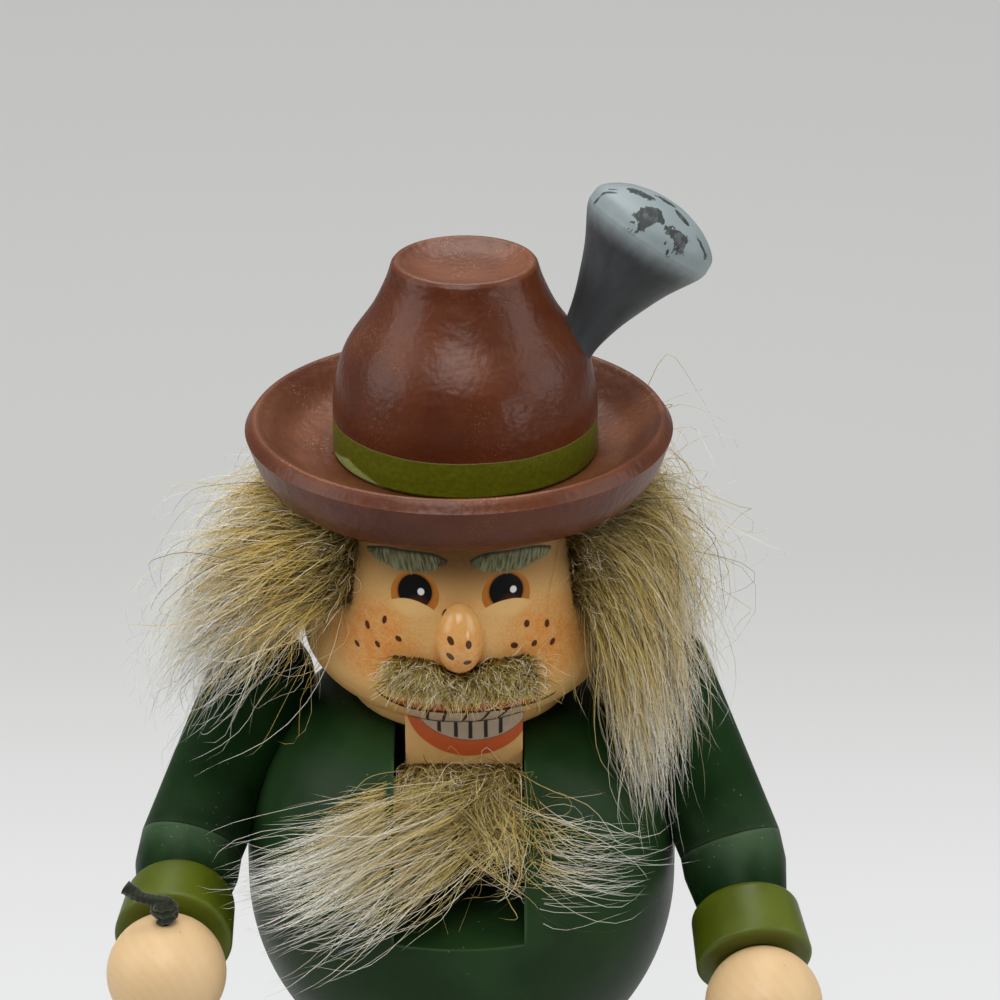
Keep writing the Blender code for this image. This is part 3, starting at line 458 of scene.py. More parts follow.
# Jaw lever. A flat beech lever that turns on a wooden pin in the slot: its front end is the chin,
# painted flesh with lower teeth and lip, and its tail behind the back is painted like the coat.
pin_low, pin_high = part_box("pivot_pin")
hinge = Vector((0, (pin_low.y + pin_high.y) / 2, (pin_low.z + pin_high.z) / 2))
head_low, head_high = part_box("head")
head_z, head_tall = head_low.z, head_high.z - head_low.z
head_radius = head_high.x
head_widest, head_upper_half, head_lower_half = 0.0178, 0.075, 0.0197
lever_low, lever_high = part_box("jaw_lever")
lever_middle, lever_width = (lever_low.x + lever_high.x) / 2, lever_high.x - lever_low.x
chin = hinge.y - lever_low.y
clear = head_z - fitting_gap - hinge.z
tail_in, tail_drop = belly_radius - hinge.y + 0.0015, hinge.z - lever_low.z
chin_foot, hub_radius, head_cut = 0.007, 0.011, 0.010


def head_at(height):
    """Radius of the head at a height, or at each of many heights, above its underside."""
    half = np.where(height > head_widest, head_upper_half, head_lower_half)
    return head_radius * np.sqrt(np.clip(1 - ((height - head_widest) / half) ** 2, 0, None))


def strongest(masks):
    """The highest of several masks at each point."""
    highest, *others = masks
    for mask in others:
        highest = mask.most(highest)
    return highest


# The lever's side view, from the chin along its underside to the tail and back over the arm.
outline = [(-chin, clear + head_cut), (-chin, chin_foot)]
tangent = atan2(-chin_foot, chin) - acos(sqrt(1 - (hub_radius / hypot(chin, chin_foot)) ** 2))
outline += rounding((0, 0), hub_radius, 270 + tangent * 180 / pi, 270, 10)
outline += rounding((tail_in - 0.003, -0.014), 0.003, 90, 0, 8)
outline += [(tail_in, 0.018 - tail_drop), (tail_in + 0.0012, 0.009 - tail_drop)]
outline += rounding((tail_in + 0.00925, 0.00525 - tail_drop), 0.00525, 190, 350, 16)
outline += [(tail_in + 0.0119, 0.016 - tail_drop), (tail_in + 0.0105, 0.025 - tail_drop),
            (tail_in + 0.0105, -0.006)]
outline += rounding((tail_in - 0.0005, -0.002), 0.011, 20, 90, 10)
outline += rounding((0.016, 0.015), 0.006, 262, 200, 8)
outline += [(0.003, clear - 0.004), (0.002, clear - 0.0012), (-0.001, clear),
            (-0.001, clear + head_cut)]
bm = bmesh.new()
face = bm.faces.new([bm.verts.new((-lever_width / 2, y, z)) for y, z in outline])
grown = bmesh.ops.extrude_face_region(bm, geom=[face])["geom"]
bmesh.ops.translate(bm, verts=[v for v in grown if isinstance(v, bmesh.types.BMVert)],
                    vec=(lever_width, 0, 0))
lever = new_piece("painted_jaw_lever", bm)
lever.location = (lever_middle, hinge.y, hinge.z)
soften = lever.modifiers.new("softened_edges", "BEVEL")
soften.limit_method, soften.angle_limit = "ANGLE", radians(40)
soften.width, soften.segments = 0.0005, 3


def head_line(extra=0.0, steps=28):
    """The head's turned profile, flat below and drawn in under the hat."""
    edge = 0.0042
    rise = [edge + (head_widest - edge) * sin(radians(90 * k / steps)) for k in range(1, steps + 1)]
    rise += [head_widest + (head_tall - head_widest) * k / steps for k in range(1, steps + 1)]
    line = faired([(0.023, 0), (0.0252, 0.0016), (head_at(edge), edge)], 8)
    return ([(0.0225, -extra)] + [(p[0] + extra, p[1] - extra * 0.5) for p in line]
            + [(head_at(h) + extra, h) for h in rise])


under_head = turned("head_clearance", head_line(fitting_gap), (0, 0, head_z), sides=144)
bpy.context.view_layer.update()
hollow = lever.modifiers.new("under_head", "BOOLEAN")
hollow.operation, hollow.object = "DIFFERENCE", under_head
settled(lever)
bpy.data.objects.remove(under_head)
lever.data.set_sharp_from_angle(angle=radians(35))

flesh, flesh_light = tint(208, 161, 96), tint(220, 178, 116)
lip_red, tooth_white, line_brown = tint(188, 78, 30), tint(192, 172, 148), tint(34, 18, 12)
paint = Finish("chin_paint", shine=0.35)
x, y, z = paint.axes()
x = x + lever_middle * 1000
wobble = (paint.grain(0.0016, 2) - 0.5) * 0.8
front = y.between(-chin * 1000 + 1.0, -chin * 1000 + 0.5)
across = ((x - 2.8) / 13.0) ** 2
gum_line = 39.0 - (1 - across).most(0) ** 0.5 * 10.7
across = ((x - 2.2) / 14.2) ** 2
lip_line = 38.1 - (1 - across).most(0) ** 0.5 * 13.7
teeth = (z + wobble * 0.25 - gum_line).between(-0.10, 0.12) * front
lip = (z + wobble * 0.4 - lip_line).between(-0.15, 0.15) * front
bars = strongest([(abs(x - at + wobble * 0.35) + (z - 34) * 0.010).between(0.50, 0.32)
                  for at in (-4.45, -0.75, 2.5, 5.95, 9.25)])
bars = bars * teeth * (z - gum_line).between(0.25, 0.6)
seam = abs(z + wobble * 0.3 - gum_line).between(0.22, 0.08) * front
grain = paint.grain(0.0008, 2)
stipple = paint.spots(2300.0).between(0.5, 0.15)
enamel = paint.mix(paint.grain(0.003, 2), tooth_white, tint(172, 152, 128))
colour = paint.mix(grain, flesh, flesh_light)
colour = paint.mix(stipple * 0.22 * front, colour, tint(205, 134, 74))
colour = paint.mix(lip, colour, paint.mix(grain, lip_red, tint(202, 94, 40)))
colour = paint.mix(teeth, colour, enamel)
colour = paint.mix(seam * 0.55, colour, tint(96, 42, 24))
colour = paint.mix(bars, colour, line_brown)
behind = y.between(2.2, 2.6)
coat = paint.mix(paint.grain(0.012, 2), tint(14, 35, 14), tint(27, 51, 25))
colour = paint.mix(behind, colour, coat)
fit(lever, paint.done(colour, 0.40 + grain * 0.12, grain + lip * 0.6 + bars * 0.4, 0.00005),
    "skin_paint", "jaw_lever", body="jaw")

# Head. A turned egg-shaped head, flat where it sits on the body. The face is painted by hand on
# flesh-coloured lacquer: stippled cheeks, freckles, dark eyes, grey brows and a smile line.
head = turned("painted_head", head_line() + [(head_at(head_tall) - 0.004, head_tall)],
              (0, 0, head_z), sides=216)
paint = Finish("face_paint", shine=0.16)
x, y, z = paint.axes()
round_the_head = paint.add("Math", {"operation": "ARCTAN2"}, {0: x, 1: y * -1})
u, v = round_the_head * (head_radius * 1000), z
hand = paint.grain(0.0017, 2) - 0.5
fine_hand = (paint.grain(0.0006, 2) - 0.5) * 0.5
grain = paint.grain(0.0007, 2)
in_front = y.between(2, -2)


def oval(at_u, at_v, half_u, half_v, lean=0.0, shake=0.25):
    """How far a point lies inside a hand-painted oval, in millimetres."""
    du, dv = u - at_u, v - at_v
    du = du + dv * lean
    spread = ((du / half_u) ** 2 + (dv / half_v) ** 2) ** 0.5
    return (1 - spread) * min(half_u, half_v) + hand * shake


stipple = paint.spots(1700.0).between(0.62, 0.18)
loose = paint.grain(0.0014, 2).between(0.38, 0.62)
blush = strongest([(((u - at_u) / wide) ** 2 + ((v - at_v) / tall) ** 2).between(1.15, 0.1)
                   for at_u, at_v, wide, tall in ((-20.5, 26.5, 14.5, 12.5),
                                                  (21.5, 26.5, 14.0, 12.5), (0, 24, 8, 8))])
# Painted shadow: the forehead darkens towards the hat brim, most in the middle, for the brim's
# shade.
painted_brim_shadow = v.between(35.5, 48.0) * (0.90 - abs(u).between(4, 26) * 0.40)
colour = paint.mix(paint.grain(0.010, 2), flesh, flesh_light)
colour = paint.mix(painted_brim_shadow, colour, tint(98, 64, 30))
colour = paint.mix(stipple * 0.16 * in_front, colour, tint(176, 122, 62))
colour = paint.mix(blush * (0.26 + stipple * 0.32 + loose * 0.28), colour, tint(210, 122, 34))

# Eyes and brows, the figure's right and then its left: an orange ring and a dark eye, cut off above
# by the lid, with one white spot, and a combed grey brow.
for sign, brow_shift, lid_at, lid_bend, eye_u, ring_u, spot_u in (
        (-1, 0.0, (-11.5, 38.5), 0.055, -9.9, -10.0, -8.45),
        (1, 0.45, (12.0, 38.4), 0.045, 11.2, 11.2, 12.85)):
    lid_line = lid_at[1] - (u - lid_at[0]) ** 2 * lid_bend
    above = (v - lid_line + hand * 0.2).between(-0.10, 0.10)
    ring = oval(ring_u, 39.6, 5.75, 5.25, shake=0.35).between(-0.12, 0.12) * above
    eye = oval(eye_u, 40.3, 4.05, 3.85, shake=0.12)
    lid = oval(ring_u - sign * 0.2, 37.4, 6.6, 3.3, shake=0.3).between(-0.3, 1.5) * (1 - above)
    colour = paint.mix(lid * 0.75, colour, tint(222, 182, 118))
    colour = paint.mix(ring, colour, paint.mix(grain, tint(184, 116, 42), tint(164, 98, 34)))
    colour = paint.mix(eye.between(-0.55, -0.05) * above * 0.6, colour, tint(104, 56, 18))
    glow = oval(eye_u + 0.9, 37.9, 1.9, 1.3, shake=0.4).between(-0.9, 0.6)
    iris = paint.mix(glow * 0.8, tint(2, 0, 0), tint(62, 26, 10))
    colour = paint.mix(eye.between(-0.10, 0.10) * above, colour, iris)
    spot = oval(spot_u, 40.4, 0.78, 0.78, shake=0.1).between(-0.12, 0.12)
    colour = paint.mix(spot, colour, tint(226, 226, 226))

    t = u * sign - brow_shift
    low_edge = 44.35 + (t - 11).most(0) ** 2 * 0.0185 + (11 - t).most(0) ** 2 * 0.034
    high_edge = 49.25 - (t - 15).most(0) ** 2 * 0.018 - (8 - t).most(0) ** 2 * 0.045
    along_brow = paint.add("CombineXYZ", {}, {0: (t - v * 0.30) * 1.5, 1: v * 0.22 + t * 0.10,
                                              2: sign * 3.0})
    comb = paint.add("TexNoise", {}, {"Vector": along_brow, "Scale": 1.0, "Detail": 3.0,
                                      "Roughness": 0.65}).between(0.34, 0.66)
    inside = (v - low_edge + (comb - 0.5) * 0.9).between(-0.12, 0.25)
    inside = inside * (high_edge - v + hand * 0.3).between(-0.1, 0.15)
    inside = inside * t.between(2.2, 2.6) * t.between(23.6, 22.8) * in_front
    brow = paint.mix(comb, tint(70, 68, 44), tint(144, 143, 106))
    brow = paint.mix((high_edge - v).between(1.1, 0.2) * 0.9, brow, tint(40, 32, 22))
    brow = paint.mix(t.between(5.6, 2.6) * 0.7, brow, tint(52, 46, 30))
    brow = paint.mix((v - low_edge).between(0.6, 0.0) * (1 - comb) * 0.8, brow, tint(70, 62, 44))
    colour = paint.mix(inside, colour, brow)

# Freckles, each by its place, half width, half height and lean.
for at_u, at_v, half_u, half_v, lean in (
        (-21.4, 30.3, 0.60, 0.92, 0.25), (-17.0, 32.6, 0.58, 0.98, -0.15),
        (-24.2, 25.0, 0.66, 0.70, 0.5), (-18.6, 26.4, 0.66, 0.80, 0.35),
        (-13.5, 28.85, 0.78, 0.70, 0.3), (15.7, 32.0, 0.72, 0.92, 0.0),
        (20.8, 30.8, 0.62, 0.92, 0.0), (12.6, 27.4, 0.85, 0.75, 0.2),
        (17.4, 26.9, 0.72, 0.78, -0.2), (22.1, 26.1, 0.70, 0.80, -0.3),
        (-3.0, 36.0, 0.45, 0.98, -0.35)):
    freckle = oval(at_u, at_v, half_u, half_v, lean, 0.35).between(-0.08, 0.10)
    colour = paint.mix(freckle, colour, paint.mix(grain, tint(58, 24, 10), tint(90, 42, 16)))

# Mouth: the smile line curls up at both ends, with the lip above it and the upper teeth below.
right_curl = ((2.5 - u).most(0) / 19.5) ** 6 * 2.0
left_curl = ((u - 2.5).most(0) / 21.5) ** 6 * 1.3
smile = 10.9 + right_curl + left_curl + hand * 0.4
in_smile = u.between(-19.8, -18.8) * u.between(24.6, 23.4) * in_front
above_smile = (v - smile).between(-0.05, 0.15)
lip_top = smile + (1 - ((u - 1.5) / 19.0) ** 2).most(0) ** 0.5 * 3.0
upper_lip = above_smile * (lip_top - v + hand * 0.3).between(-0.2, 0.3) * in_smile
colour = paint.mix(upper_lip, colour, paint.mix(grain, tint(158, 76, 40), tint(174, 88, 48)))
half_mouth = u.between(-13.0, -11.6) * u.between(16.6, 15.0) * in_front
upper_teeth = (smile - v).between(-0.05, 0.15) * v.between(0.8, 1.6) * half_mouth
enamel = paint.mix(paint.grain(0.003, 2), tooth_white, tint(182, 162, 138))
colour = paint.mix(upper_teeth, colour, enamel)
bars = strongest([abs(u - at - (v - 8.0) * 0.30 + fine_hand).between(0.52, 0.28)
                  for at in (-8.1, -3.8, 1.5, 6.6, 11.0)])
colour = paint.mix(bars * upper_teeth, colour, line_brown)
smile_line = abs(v - smile).between(0.56, 0.30) * in_smile
colour = paint.mix(smile_line, colour, tint(44, 22, 14))
fit(head, paint.done(colour, 0.36 + grain * 0.10 + blush * stipple * 0.05,
                     grain * 0.6 + stipple * blush * 0.35, 0.00004), "skin_paint", "head")

# Nose. A small turned egg glued on the face, in the same flesh lacquer, stippled and freckled.
low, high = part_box("nose")
nose_half = Vector(((high.x - low.x) / 2, 0.0056, (high.z - low.z) / 2))
bm = bmesh.new()
bmesh.ops.create_uvsphere(bm, u_segments=96, v_segments=64, radius=1)
for vert in bm.verts:
    egg = 1 - 0.10 * vert.co.z
    vert.co = Vector((vert.co.x * nose_half.x * egg, vert.co.y * nose_half.y * egg,
                      vert.co.z * nose_half.z))
nose = new_piece("painted_nose", bm, 60)
nose.location = ((low.x + high.x) / 2, low.y + nose_half.y, (low.z + high.z) / 2)
paint = Finish("nose_paint", shine=0.45)
u, y, v = paint.axes()
hand = paint.grain(0.0017, 2) - 0.5
grain = paint.grain(0.0007, 2)
stipple = paint.spots(1250.0).between(0.62, 0.18)
loose = paint.grain(0.0014, 2).between(0.38, 0.62)
colour = paint.mix(paint.grain(0.006, 2), tint(206, 156, 90), tint(216, 170, 104))
rosy = (0.30 + v.between(6.5, -3) * 0.70) * (0.14 + stipple * 0.40 + loose * 0.30)
colour = paint.mix(rosy, colour, tint(212, 124, 42))
for at_u, at_v, half_u, half_v, lean in (
        (-1.85, 1.75, 0.75, 1.0, 0.2), (2.0, 0.85, 0.65, 1.0, 0.1),
        (-1.95, -1.9, 0.85, 0.85, 0.4), (1.75, -3.45, 0.9, 0.62, 0.0)):
    freckle = oval(at_u, at_v, half_u, half_v, lean, 0.35).between(-0.08, 0.10) * y.between(0, -1)
    colour = paint.mix(freckle, colour, paint.mix(grain, tint(66, 28, 12), tint(98, 48, 20)))
fit(nose, paint.done(colour, 0.17 + grain * 0.10, grain * 0.6 + stipple * 0.3, 0.00002),
    "skin_paint", "nose")

# Hat brim. A turned saucer with a thick rolled lip, in red-brown satin paint over open grain that
# holds a little dust.
low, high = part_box("hat_brim")
brim_z, lip_radius, lip_tall = low.z, high.x, high.z - low.z
lip_wide, saucer = 0.0046, 0.0069


def hat_paint(name, band=None):
    """Red-brown satin paint, dusty and painted lighter where it faces up; band is a function that
    paints over it.
    """
    paint = Finish(name, shine=0.28)
    fine = paint.grain(0.0006, 3)
    peel = paint.grain(0.0011, 1)
    clouds = paint.grain(0.009, 3).between(0.30, 0.70)
    facing = paint.add("NewGeometry", output="Normal")
    facing_up = Wire(paint, paint.add("SeparateXYZ", {}, {0: facing}).socket.node.outputs[2])
    dust_and_top_light = facing_up.between(0.35, 1.0)
    pores = paint.spots(1500.0).between(0.30, 0.10)
    dust = pores * paint.grain(0.006, 3).between(0.50, 0.68) * (0.25 + dust_and_top_light * 0.9)
    colour = paint.mix(clouds * 0.7 + fine * 0.3, tint(72, 30, 11), tint(96, 47, 22))
    # Upward faces get a pale wash, partly dust and partly painted light from above.
    colour = paint.mix(dust_and_top_light * (0.07 + clouds * 0.10), colour, tint(198, 138, 98))
    colour = paint.mix(dust * 0.7, colour, tint(196, 150, 118))
    rough = 0.27 + fine * 0.12 + dust * 0.2 + dust_and_top_light * 0.05
    height = fine + peel * 3.4 + dust * 0.5
    if band:
        colour, rough, height = band(paint, colour, rough, height)
    return paint.done(colour, rough, height, 0.00006)


crest = lip_radius - lip_wide * 0.45
side_line = faired([(0.0385, 0), (0.0419, 0.0011), (lip_radius - 0.0024, 0.0055),
                    (lip_radius, lip_tall - 0.0025)], 12)
top_line = faired([(lip_radius, lip_tall - 0.0025), (crest, lip_tall),
                   (lip_radius - lip_wide, lip_tall - 0.0014),
                   (0.0374, saucer + 0.0022), (0.0304, saucer)], 12)
brim = turned("turned_brim", [(0.0375, 0)] + side_line + top_line[1:], (0, 0, brim_z), sides=216)
fit(brim, hat_paint("brim_brown_paint"), "hat_brown_paint", "hat_brim")

# Hat crown. Turned with a waisted top and a shallow dish, and glued in the saucer. The hat band is
# not cloth but a stripe of matte olive paint, brushed round by hand, with a paler missed edge.
low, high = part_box("hat_crown")
crown_foot = Vector(((low.x + high.x) / 2, 0, low.z))
crown_radius, crown_tall = (high.x - low.x) / 2, high.z - low.z
crown_line = faired([(crown_radius, 0.0055)] + [
    (crown_radius - inside, crown_tall - below) for inside, below in (
        (0.0002, 0.0315), (0.0015, 0.0243), (0.0038, 0.0188), (0.0088, 0.0115), (0.0119, 0.0052),
        (0.0134, 0.0008))], 12)
dish_line = faired([(0.0160, crown_tall - 0.0008), (0.01535, crown_tall - 0.0001),
                    (0.0144, crown_tall), (0.0128, crown_tall - 0.0007),
                    (0.0094, crown_tall - 0.0018), (0.0051, crown_tall - 0.0022),
                    (0.0, crown_tall - 0.0023)], 8)
crown = turned("turned_crown", [(crown_radius - 0.0004, 0), (crown_radius, 0.0006)]
               + crown_line + dish_line[1:], crown_foot, sides=216)
band_tall = 8.3


def olive_band(paint, colour, rough, height):
    """The painted band, over the lowest millimetres of the crown."""
    x, y, z = paint.axes()
    grit = paint.grain(0.0005, 3)
    hand = (paint.grain(0.004, 2) - 0.5) * 0.5
    in_band = (band_tall - z + hand).between(-0.05, 0.10)
    # Painted highlight: a paler line along the band's top edge, for the light its raised edge
    # catches.
    rim = abs(band_tall - z + hand).between(0.22, 0.05)
    olive = paint.mix(grit, tint(72, 75, 0), tint(100, 104, 3))
    around = paint.add("Math", {"operation": "ARCTAN2"}, {0: y, 1: x * -1}) * 57.3  # degrees
    missed = (3.4 - abs(around + 30) * 0.13 - z + hand).between(-0.2, 0.5)
    olive = paint.mix(missed, olive, tint(146, 158, 92))
    return (paint.mix(rim * 0.5, paint.mix(in_band, colour, olive), tint(116, 112, 58)),
            rough + in_band * 0.16, height + in_band * (grit * 1.4 + 1.5))


fit(crown, hat_paint("crown_brown_paint", olive_band), "hat_brown_paint", "hat_crown")

# Hat brush. The tuft that hunters wear is one turned piece here, a flared cone with a domed end,
# pegged into the crown; it is slate grey with a pale end and quick dark brush marks, each given by
# its place on the dome in millimetres, its half length and half width, and its turn.
brush_foot = crown_foot + Vector((crown_radius - 0.0040, 0.0005, crown_tall - 0.0181))
brush_along = Vector((0.546, 0.167, 0.821)).normalized()
cone_line = faired([(0.0045, -0.0045), (0.0046, 0), (0.0060, 0.006), (0.0082, 0.012),
                    (0.0108, 0.018), (0.0144, 0.0243), (0.0152, 0.0265)], 8)
dome_line = faired([(0.0152, 0.0265), (0.0145, 0.0301), (0.0102, 0.0333), (0.0048, 0.0351),
                    (0, 0.0356)], 8)
brush = turned("turned_hat_brush", cone_line + dome_line[1:], brush_foot, brush_along, 144, 60)
paint = Finish("slate_paint", shine=0.4)
x, y, z = paint.axes()
fine = paint.grain(0.0007, 2)
drag = paint.grain(0.0011, 3, (1, 1, 0.16))
slate = paint.mix(drag, tint(46, 49, 51), tint(66, 70, 72))
pale = paint.mix(paint.grain(0.003, 2), tint(124, 135, 137), tint(146, 157, 159))
colour = paint.mix((z - 25.0 + (drag - 0.5) * 1.4).between(-3.8, 2.2), slate, pale)
tatter = ((paint.grain(0.0017, 2) - 0.5) * 3.4
          + (paint.grain(0.0005, 2, (1.6, 0.6, 1)) - 0.5) * 1.5)
marks = []
for at_x, at_y, long, wide, turn in (
        (-9.4, 2.8, 3.3, 0.7, 17), (-13.4, -5.2, 1.7, 0.35, -35), (-12.4, -4.3, 1.5, 0.3, -25),
        (-7.9, -4.9, 2.7, 1.3, -29), (-1.9, -3.3, 2.4, 0.95, -10), (-4.0, -11.8, 2.6, 1.9, 20),
        (2.8, -13.2, 2.5, 1.3, 15), (3.5, -7.1, 2.4, 1.0, -32), (9.6, -8.3, 2.2, 0.8, -5),
        (4.6, 1.4, 2.2, 1.0, 20), (-3.2, 5.2, 2.5, 1.1, -20), (10.4, 2.6, 2.0, 0.9, 60),
        (1.4, 9.4, 2.6, 1.2, 10), (-7.4, 9.2, 2.2, 1.0, 40), (7.8, 9.0, 2.0, 0.9, -40)):
    lean, tilt = cos(radians(turn)), sin(radians(turn))
    down_it = (x - at_x) * lean + (y - at_y) * tilt
    across_it = (y - at_y) * lean - (x - at_x) * tilt
    mark = (1.25 - ((down_it / long) ** 2 + (across_it / wide) ** 2) ** 0.5) * wide
    marks.append(mark + tatter * min(0.9, wide * 0.7))
marks = strongest(marks).between(0.0, 0.16) * z.between(26.0, 27.0)
dry = paint.grain(0.0008, 3, (1.8, 0.5, 1)).between(0.30, 0.55)
colour = paint.mix(marks * (0.72 + dry * 0.26), colour,
                   paint.mix(fine, tint(30, 32, 32), tint(56, 59, 59)))
fit(brush, paint.done(colour, 0.40 + fine * 0.12 + marks * 0.15,
                      fine + drag + marks * 0.8, 0.00005), "slate_paint", "hat_brush")

# Arms. Each is two lengths of green dowel sawn on the mitre and glued at the elbow, where dust and
# thin paint mark the joint; the shoulder end is rounded and scribed to the body.
def sleeve(name, seam, frost):
    """Green satin paint, thin and dusty along the seam, which is a plane through the elbow."""
    paint = Finish(name, shine=0.07)
    clouds = paint.grain(0.008, 3).between(0.34, 0.68)
    fine = paint.grain(0.0008, 2)
    from_seam = abs(paint.add("VectorMath", {"operation": "DOT_PRODUCT"},
                              {0: paint.place(), 1: seam}, "Value"))
    from_seam = from_seam * 1000 + (fine - 0.5) * 0.8
    specks = paint.spots(520.0).between(0.16, 0.05)
    specks = specks * (from_seam.between(20, 2) * 0.7 + 0.15)
    specks = specks * paint.grain(0.004, 2).between(0.42, 0.62)
    colour = paint.mix(clouds * 0.8 + fine * 0.2, tint(10, 33, 8), tint(21, 49, 17))
    thin = from_seam.between(13, 0) * (0.35 + clouds * 0.65) * frost
    colour = paint.mix(thin, colour, tint(66, 88, 62))
    colour = paint.mix(from_seam.between(1.6, 0.1) * 0.3 * frost, colour, tint(96, 110, 88))
    colour = paint.mix(specks * 0.6, colour, tint(140, 146, 124))
    return paint.done(colour, 0.40 + clouds * 0.10 + specks * 0.2, fine + clouds * 0.5, 0.00003)


def sawn(piece, point, normal):
    """Cuts off what lies past a plane, and closes the face with a softened edge."""
    bpy.context.view_layer.update()
    back = piece.matrix_world.inverted()
    bm = bmesh.new()
    bm.from_mesh(piece.data)
    cut = bmesh.ops.bisect_plane(bm, geom=bm.verts[:] + bm.edges[:] + bm.faces[:], dist=1e-7,
                                 plane_co=back @ Vector(point),
                                 plane_no=back.to_3x3() @ Vector(normal), clear_outer=True)
    rim = [e for e in cut["geom_cut"] if isinstance(e, bmesh.types.BMEdge)]
    bmesh.ops.contextual_create(bm, geom=rim)
    bmesh.ops.recalc_face_normals(bm, faces=bm.faces)
    bm.to_mesh(piece.data)
    bm.free()
    soften = piece.modifiers.new("softened_edge", "BEVEL")
    soften.limit_method, soften.angle_limit = "ANGLE", radians(36)
    soften.width, soften.segments = 0.00015, 2
    settled(piece)
    piece.data.shade_smooth()
    piece.data.set_sharp_from_angle(angle=radians(35))


belly_centre = Vector((0, 0, belly_z))
sleeve_radius, wrist_radius = 0.012, 0.0101
hand_radius, hand_seat, cuff_length = 0.0132, 0.0111, 0.0148
half_seam = 0.00003
hands, shoulders, elbows = {}, {}, {}
belly_form = turned("belly_form", [(belly_at(h) + fitting_gap, h) for h in heights],
                    (0, 0, belly_z), sides=144)
for side, sign in (("left", 1), ("right", -1)):
    low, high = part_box("hand_" + side)
    hands[side] = hand_centre = (low + high) / 2
    shoulders[side] = shoulder = belly_centre + Vector((sign * 0.0456, 0.002, 0.0516))
    elbows[side] = elbow = belly_centre + Vector((sign * 0.0629, -0.009, 0.0113))
    down, out = (elbow - shoulder).normalized(), (hand_centre - elbow).normalized()
    mitre = (down + out).normalized()
    slant = sleeve_radius * tan(down.angle(out) / 2)
    length = (elbow - shoulder).length
    round_end = [(sleeve_radius * sin(radians(a)),
                  -sleeve_radius * 0.85 * cos(radians(a)) - length) for a in range(0, 91, 5)]
    upper = turned("painted_upper_arm_" + side, round_end + [(sleeve_radius, slant + 0.002)],
                   elbow, down, 96)
    sawn(upper, elbow - mitre * half_seam, mitre)
    scribing = upper.modifiers.new("scribed_to_belly", "BOOLEAN")
    scribing.operation, scribing.object = "DIFFERENCE", belly_form
    settled(upper)
    upper.data.set_sharp_from_angle(angle=radians(35))
    seam = upper.rotation_euler.to_matrix().transposed() @ mitre
    fit(upper, sleeve("upper_sleeve_" + side, seam, 0.3), "dark_green_paint", "upper_arm_" + side)
    cuff_start = (hand_centre - elbow).length - hand_seat - cuff_length
    lower = turned("painted_forearm_" + side,
                   [(sleeve_radius, -slant - 0.002), (sleeve_radius, slant + 0.001),
                    (wrist_radius, cuff_start - fitting_gap)], elbow, out, 96)
    sawn(lower, elbow + mitre * half_seam, -mitre)
    seam = lower.rotation_euler.to_matrix().transposed() @ mitre
    fit(lower, sleeve("lower_sleeve_" + side, seam, 0.9), "dark_green_paint", "forearm_" + side)
bpy.data.objects.remove(belly_form)

# Cuffs. Two short turned rings, rounded towards the elbow and hollowed for the ball of the hand,
# in olive satin paint.
olive_paint = lacquer("cuff_olive_paint", tint(69, 80, 5), tint(91, 103, 16), 0.40,
                      dust=0.15, shine=0.35)
for side, centre in hands.items():
    elbow = elbows[side]
    out = (centre - elbow).normalized()
    start = (centre - elbow).length - hand_seat - cuff_length
    seat = hand_radius + fitting_gap
    rim = sqrt(seat ** 2 - hand_seat ** 2)
    dish = [(rim * k / 10, cuff_length + hand_seat - sqrt(seat ** 2 - (rim * k / 10) ** 2))
            for k in range(10, -1, -1)]
    cuff = turned("turned_cuff_" + side,
                  [(0.0100, 0), (0.0102, 0)] + rounding((0.0100, 0.0025), 0.0025, -80, 0, 10)
                  + rounding((0.01325 - 0.0011, cuff_length - 0.0011), 0.0011, 0, 80, 6)
                  + [(0.0116, cuff_length), (0.0104, cuff_length - 0.0002)]
                  + [p for p in dish if p[0] < 0.0099], elbow + out * start, out, 120, 40)
    fit(cuff, olive_paint, "olive_paint", "cuff_" + side)

# Hands. Two turned balls of pale maple under clear matte lacquer, glued in the cuffs; the right one
# is drilled from top to bottom for the cord, with a softened rim to the hole.
for side, centre in hands.items():
    low_turn = 180 if side == "left" else 172.5
    ball = [(hand_radius * sin(radians(a)), -hand_radius * cos(radians(a)))
            for a in np.linspace(180 - low_turn, low_turn, 60)]
    if side == "right":
        hole = 0.00145
        ball = ([(0.0, -0.0118), (hole, -0.0125), (hole + 0.0001, -0.01292)] + ball
                + [(hole + 0.0001, 0.01292), (hole, 0.0125), (0.0, 0.0118)])
    piece = turned("turned_hand_" + side, ball, centre, (0, 0, 1), 120, 50)
    wood = Finish("pale_maple_" + side, shine=0.35)
    x, y, z = wood.axes()
    heart = wood.add("VectorMath", {"operation": "ADD"}, {0: wood.place(), 1: (0.011, 0.02, 0.004)})
    rings = wood.add("TexWave", {"wave_type": "RINGS", "rings_direction": "Y"}, {
        "Vector": heart, "Scale": 150.0, "Distortion": 2.0, "Detail": 2.0, "Detail Scale": 0.5})
    flecks = wood.grain(0.00045, 3, (1, 0.10, 1)).between(0.56, 0.72)
    blotch = wood.grain(0.007, 2)
    pin_holes = wood.spots(330.0).between(0.055, 0.035)
    colour = wood.mix(blotch, tint(222, 186, 136), tint(230, 198, 153))
    colour = wood.mix(rings * 0.06, colour, tint(190, 146, 98))
    colour = wood.mix(flecks * 0.06, colour, tint(168, 124, 82))
    colour = wood.mix(pin_holes * 0.8, colour, tint(132, 92, 58))
    if side == "right":
        by_hole = ((x * x + y * y) ** 0.5).between(3.2, 1.3)
        colour = wood.mix(by_hole * 0.45, colour, tint(150, 118, 84))
    fit(piece, wood.done(colour, 0.40 + flecks * 0.1, flecks + blotch * 0.2, 0.00002),
        "pale_wood", "hand_" + side)

